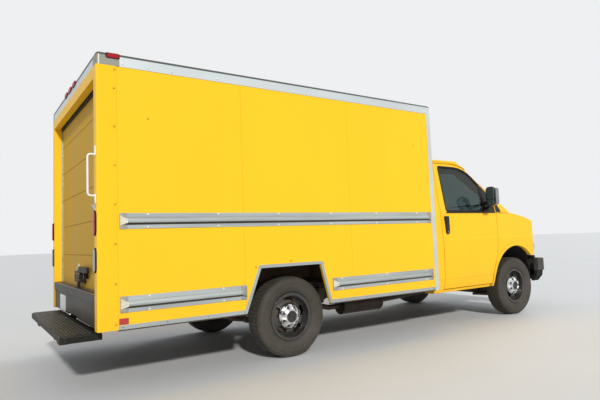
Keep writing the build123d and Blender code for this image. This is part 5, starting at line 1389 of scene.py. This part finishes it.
lamp_lens = finish(
    "lamp lens", (0.36, 0.006, 0.010), 0.3, tone=0.12, patch=0.02, dust=0.1, wear=0.0,
    ribs=("Z", 0.010, 0.0009), Specular_IOR_Level=0.3,
    zones=(((-FAR, 0.9, 0.86), (FAR, 1.066, 1.11), (0.30, 0.34, 0.36)),),
)
dress(lamp_lens, "rear_lamps")
TAIL_LAMP_Y = 1.0235
TAIL_LAMPS = (
    # lower end, upper end
    (0.904, 1.079), (1.182, 1.359),
)
GROMMET_RADIUS = 0.030
GROMMET_STEPS = 40
GROMMET = (
    # radius, distance out from the post
    (0.0285, -0.002), (0.0285, 0.010), (0.0305, 0.0115), (0.0355, 0.007), (0.0365, -0.002),
)
MARKER_Z, MARKER_TALL, MARKER_THICK = 2.562, 0.042, 0.005
MARKERS = (
    # middle, half length, facing
    ((BOX_REAR + 0.125, BOX_HALF), (0.053, 0, 0), (0, 1, 0)),
    ((BOX_REAR + 0.125, -BOX_HALF), (0.053, 0, 0), (0, -1, 0)),
    ((BOX_REAR, -0.198), (0, 0.062, 0), (-1, 0, 0)),
    ((BOX_REAR, 0.0), (0, 0.062, 0), (-1, 0, 0)),
    ((BOX_REAR, 0.198), (0, 0.062, 0), (-1, 0, 0)),
)
for side_name, side in SIDES:
    for number, (low, high) in enumerate(TAIL_LAMPS):
        reach = (high - low) / 2 - GROMMET_RADIUS
        stations = []
        for turn in full_turn(GROMMET_STEPS):
            height = (low + high) / 2 + (reach if sin(turn) > 0 else -reach)
            stations.append([
                (BOX_REAR - out, side * TAIL_LAMP_Y + radius * cos(turn), height + radius * sin(turn))
                for radius, out in GROMMET
            ])
        grommet = loft(f"lamp_grommet_{side_name}_{number}", stations, seal_rubber, closed=True)
        fit("chassis", "black_plastic", grommet)
for number, (place, across, outward) in enumerate(MARKERS):
    fit("chassis", "black_plastic", panel(
        f"marker_base_{number}", (*place, MARKER_Z), across, (0, 0, MARKER_TALL / 2), outward,
        MARKER_THICK, seal_rubber,
    ))


# Grab handle: a bent steel bar in white enamel on two flat feet, bolted to the right rear
# post. A small galvanised bracket sits below it.

white_enamel = finish(
    "white enamel", (0.8, 0.8, 0.78), 0.3, tone=0.06, dust=0.1, worn=(0.3, 0.2, 0.12),
)
HANDLE_Y = 0.037 - BOX_HALF
HANDLE_LOW, HANDLE_HIGH = 1.476, 1.791
HANDLE_OUT = 0.055
HANDLE_ROOT = 0.002
HANDLE_BEND, BEND_STEPS = 0.024, 6
HANDLE_BAR, BAR_SIDES = 0.0075, 14
FOOT_HALF, FOOT_THICK = 0.013, 0.006
BOLT_RADIUS, BOLT_HEIGHT = 0.0075, 0.005
HANDLE_FEET = (
    # lower edge, upper edge, height of the bolt
    (1.416, 1.488, 1.432), (1.779, 1.856, 1.840),
)
BRACKET = (
    # out from the post, height
    (-0.001, 1.405), (0.031, 1.405), (0.031, 1.400), (-0.001, 1.352),
)
across = Vector((0, 1, 0))
route = [Vector((BOX_REAR + HANDLE_ROOT, HANDLE_Y, HANDLE_HIGH))]
for bend_z, first in ((HANDLE_HIGH - HANDLE_BEND, 90), (HANDLE_LOW + HANDLE_BEND, 180)):
    for step in range(BEND_STEPS + 1):
        turn = radians(first + 90 * step / BEND_STEPS)
        ahead = HANDLE_BEND * (1 + cos(turn)) - HANDLE_OUT
        route.append(Vector((BOX_REAR + ahead, HANDLE_Y, bend_z + HANDLE_BEND * sin(turn))))
route.append(Vector((BOX_REAR + HANDLE_ROOT, HANDLE_Y, HANDLE_LOW)))
stations = []
for i, place in enumerate(route):
    along = (route[min(i + 1, len(route) - 1)] - route[max(i - 1, 0)]).normalized()
    aside = along.cross(across)
    stations.append([
        place + HANDLE_BAR * (cos(turn) * across + sin(turn) * aside) for turn in full_turn(BAR_SIDES)
    ])
handle = loft("grab_bar", stations, white_enamel)
fit("chassis", "white_enamel", handle)
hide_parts("grab_handle")
for number, (low, high, _) in enumerate(HANDLE_FEET):
    fit("chassis", "white_enamel", panel(
        f"grab_foot_{number}", (BOX_REAR, HANDLE_Y, (low + high) / 2), (0, FOOT_HALF, 0),
        (0, 0, (high - low) / 2), REARWARD, FOOT_THICK, white_enamel,
    ))
fit("chassis", "white_enamel", loft("grab_bracket", [
    [(BOX_REAR - out, HANDLE_Y + side * FOOT_HALF, z) for out, z in BRACKET] for side in (-1, 1)
], galvanised, smooth=False))
bolts = [(BOX_REAR - FOOT_THICK, HANDLE_Y, z) for *_, z in HANDLE_FEET]
bolts = [(place, place, 1, BOLT_RADIUS, BOLT_HEIGHT, REARWARD) for place in bolts]
rivet_rows("handle_bolts", bolts, lock_metal, "chassis", "dark_steel")


# The yard: a pale floor and sky, a soft sun, a weaker lamp from the front, and the camera
# where the photo was taken.

PHOTO_CAMERA = Vector((-3.7926, -5.0108, 1.0926))
PHOTO_YAW, PHOTO_PITCH, PHOTO_ROLL = 0.592687, 0.0773088, -0.0380210
SENSOR_WIDTH, LENS_LENGTH = 36.0, 30.257
YARD_REACH = 120.0
SUNS = (
    # name, from, power, soft angle, colour
    ("soft sun", (-0.277, -0.834, 0.477), 2.7, 4, (1.0, 0.985, 0.95)),
    ("front fill", (0.90, 0.30, 0.50), 1.2, 30, (0.95, 0.98, 1.0)),
)
SKY_FILL, SKY_FILL_COLOUR = 0.42, (0.93, 0.97, 1.0, 1.0)
PALE_SKY = (0.86, 0.87, 0.88, 1.0)

floor_finish, tree = bare_material("yard floor")
patches = noise(tree, object_place(tree), 1.5, 6.0)
worn_floor = blend_colour(tree, patches, (0.60, 0.605, 0.61), (0.66, 0.665, 0.67))
put(tree, "OutputMaterial", {
    "Surface": put(tree, "BsdfPrincipled", {"Base Color": worn_floor, "Roughness": 0.85}),
})
corners = [(x, y, 0) for x, y in oblong(-YARD_REACH, YARD_REACH, -YARD_REACH, YARD_REACH)]
mesh_object("yard", corners, [(0, 1, 2, 3)], floor_finish, smooth=False)

scene.world = bpy.data.worlds.new("pale sky")
scene.world.use_nodes = True
tree = scene.world.node_tree
tree.nodes.clear()
path = put(tree, "LightPath").outputs
seen = sums(tree, "MAXIMUM", path["Is Camera Ray"], path["Is Glossy Ray"])
seen = sums(tree, "MAXIMUM", seen, path["Is Transmission Ray"])
fill = put(tree, "Background", {"Color": SKY_FILL_COLOUR, "Strength": SKY_FILL})
shown = put(tree, "Background", {"Color": PALE_SKY, "Strength": 1.0})
put(tree, "OutputWorld", {"Surface": put(tree, "MixShader", {0: seen, 1: fill, 2: shown})})

for name, source, power, soft, colour in SUNS:
    sun = bpy.data.lights.new(name, "SUN")
    sun.energy, sun.angle, sun.color = power, radians(soft), colour
    lamp = bpy.data.objects.new(name, sun)
    lamp.rotation_mode = "QUATERNION"
    lamp.rotation_quaternion = Vector(source).to_track_quat("Z", "Y")
    scene.collection.objects.link(lamp)

look = Vector((
    sin(PHOTO_YAW) * cos(PHOTO_PITCH), cos(PHOTO_YAW) * cos(PHOTO_PITCH), sin(PHOTO_PITCH),
))
level_right = Vector((cos(PHOTO_YAW), -sin(PHOTO_YAW), 0.0))
level_up = level_right.cross(look)
right = level_right * cos(PHOTO_ROLL) + level_up * sin(PHOTO_ROLL)
up = level_up * cos(PHOTO_ROLL) - level_right * sin(PHOTO_ROLL)
lens = bpy.data.cameras.new("photo camera")
lens.sensor_width, lens.lens = SENSOR_WIDTH, LENS_LENGTH
camera = bpy.data.objects.new("photo camera", lens)
camera.matrix_world = Matrix.Translation(PHOTO_CAMERA) @ Matrix((right, up, -look)).transposed().to_4x4()
scene.collection.objects.link(camera)
scene.camera = camera

scene.view_settings.view_transform = "Standard"
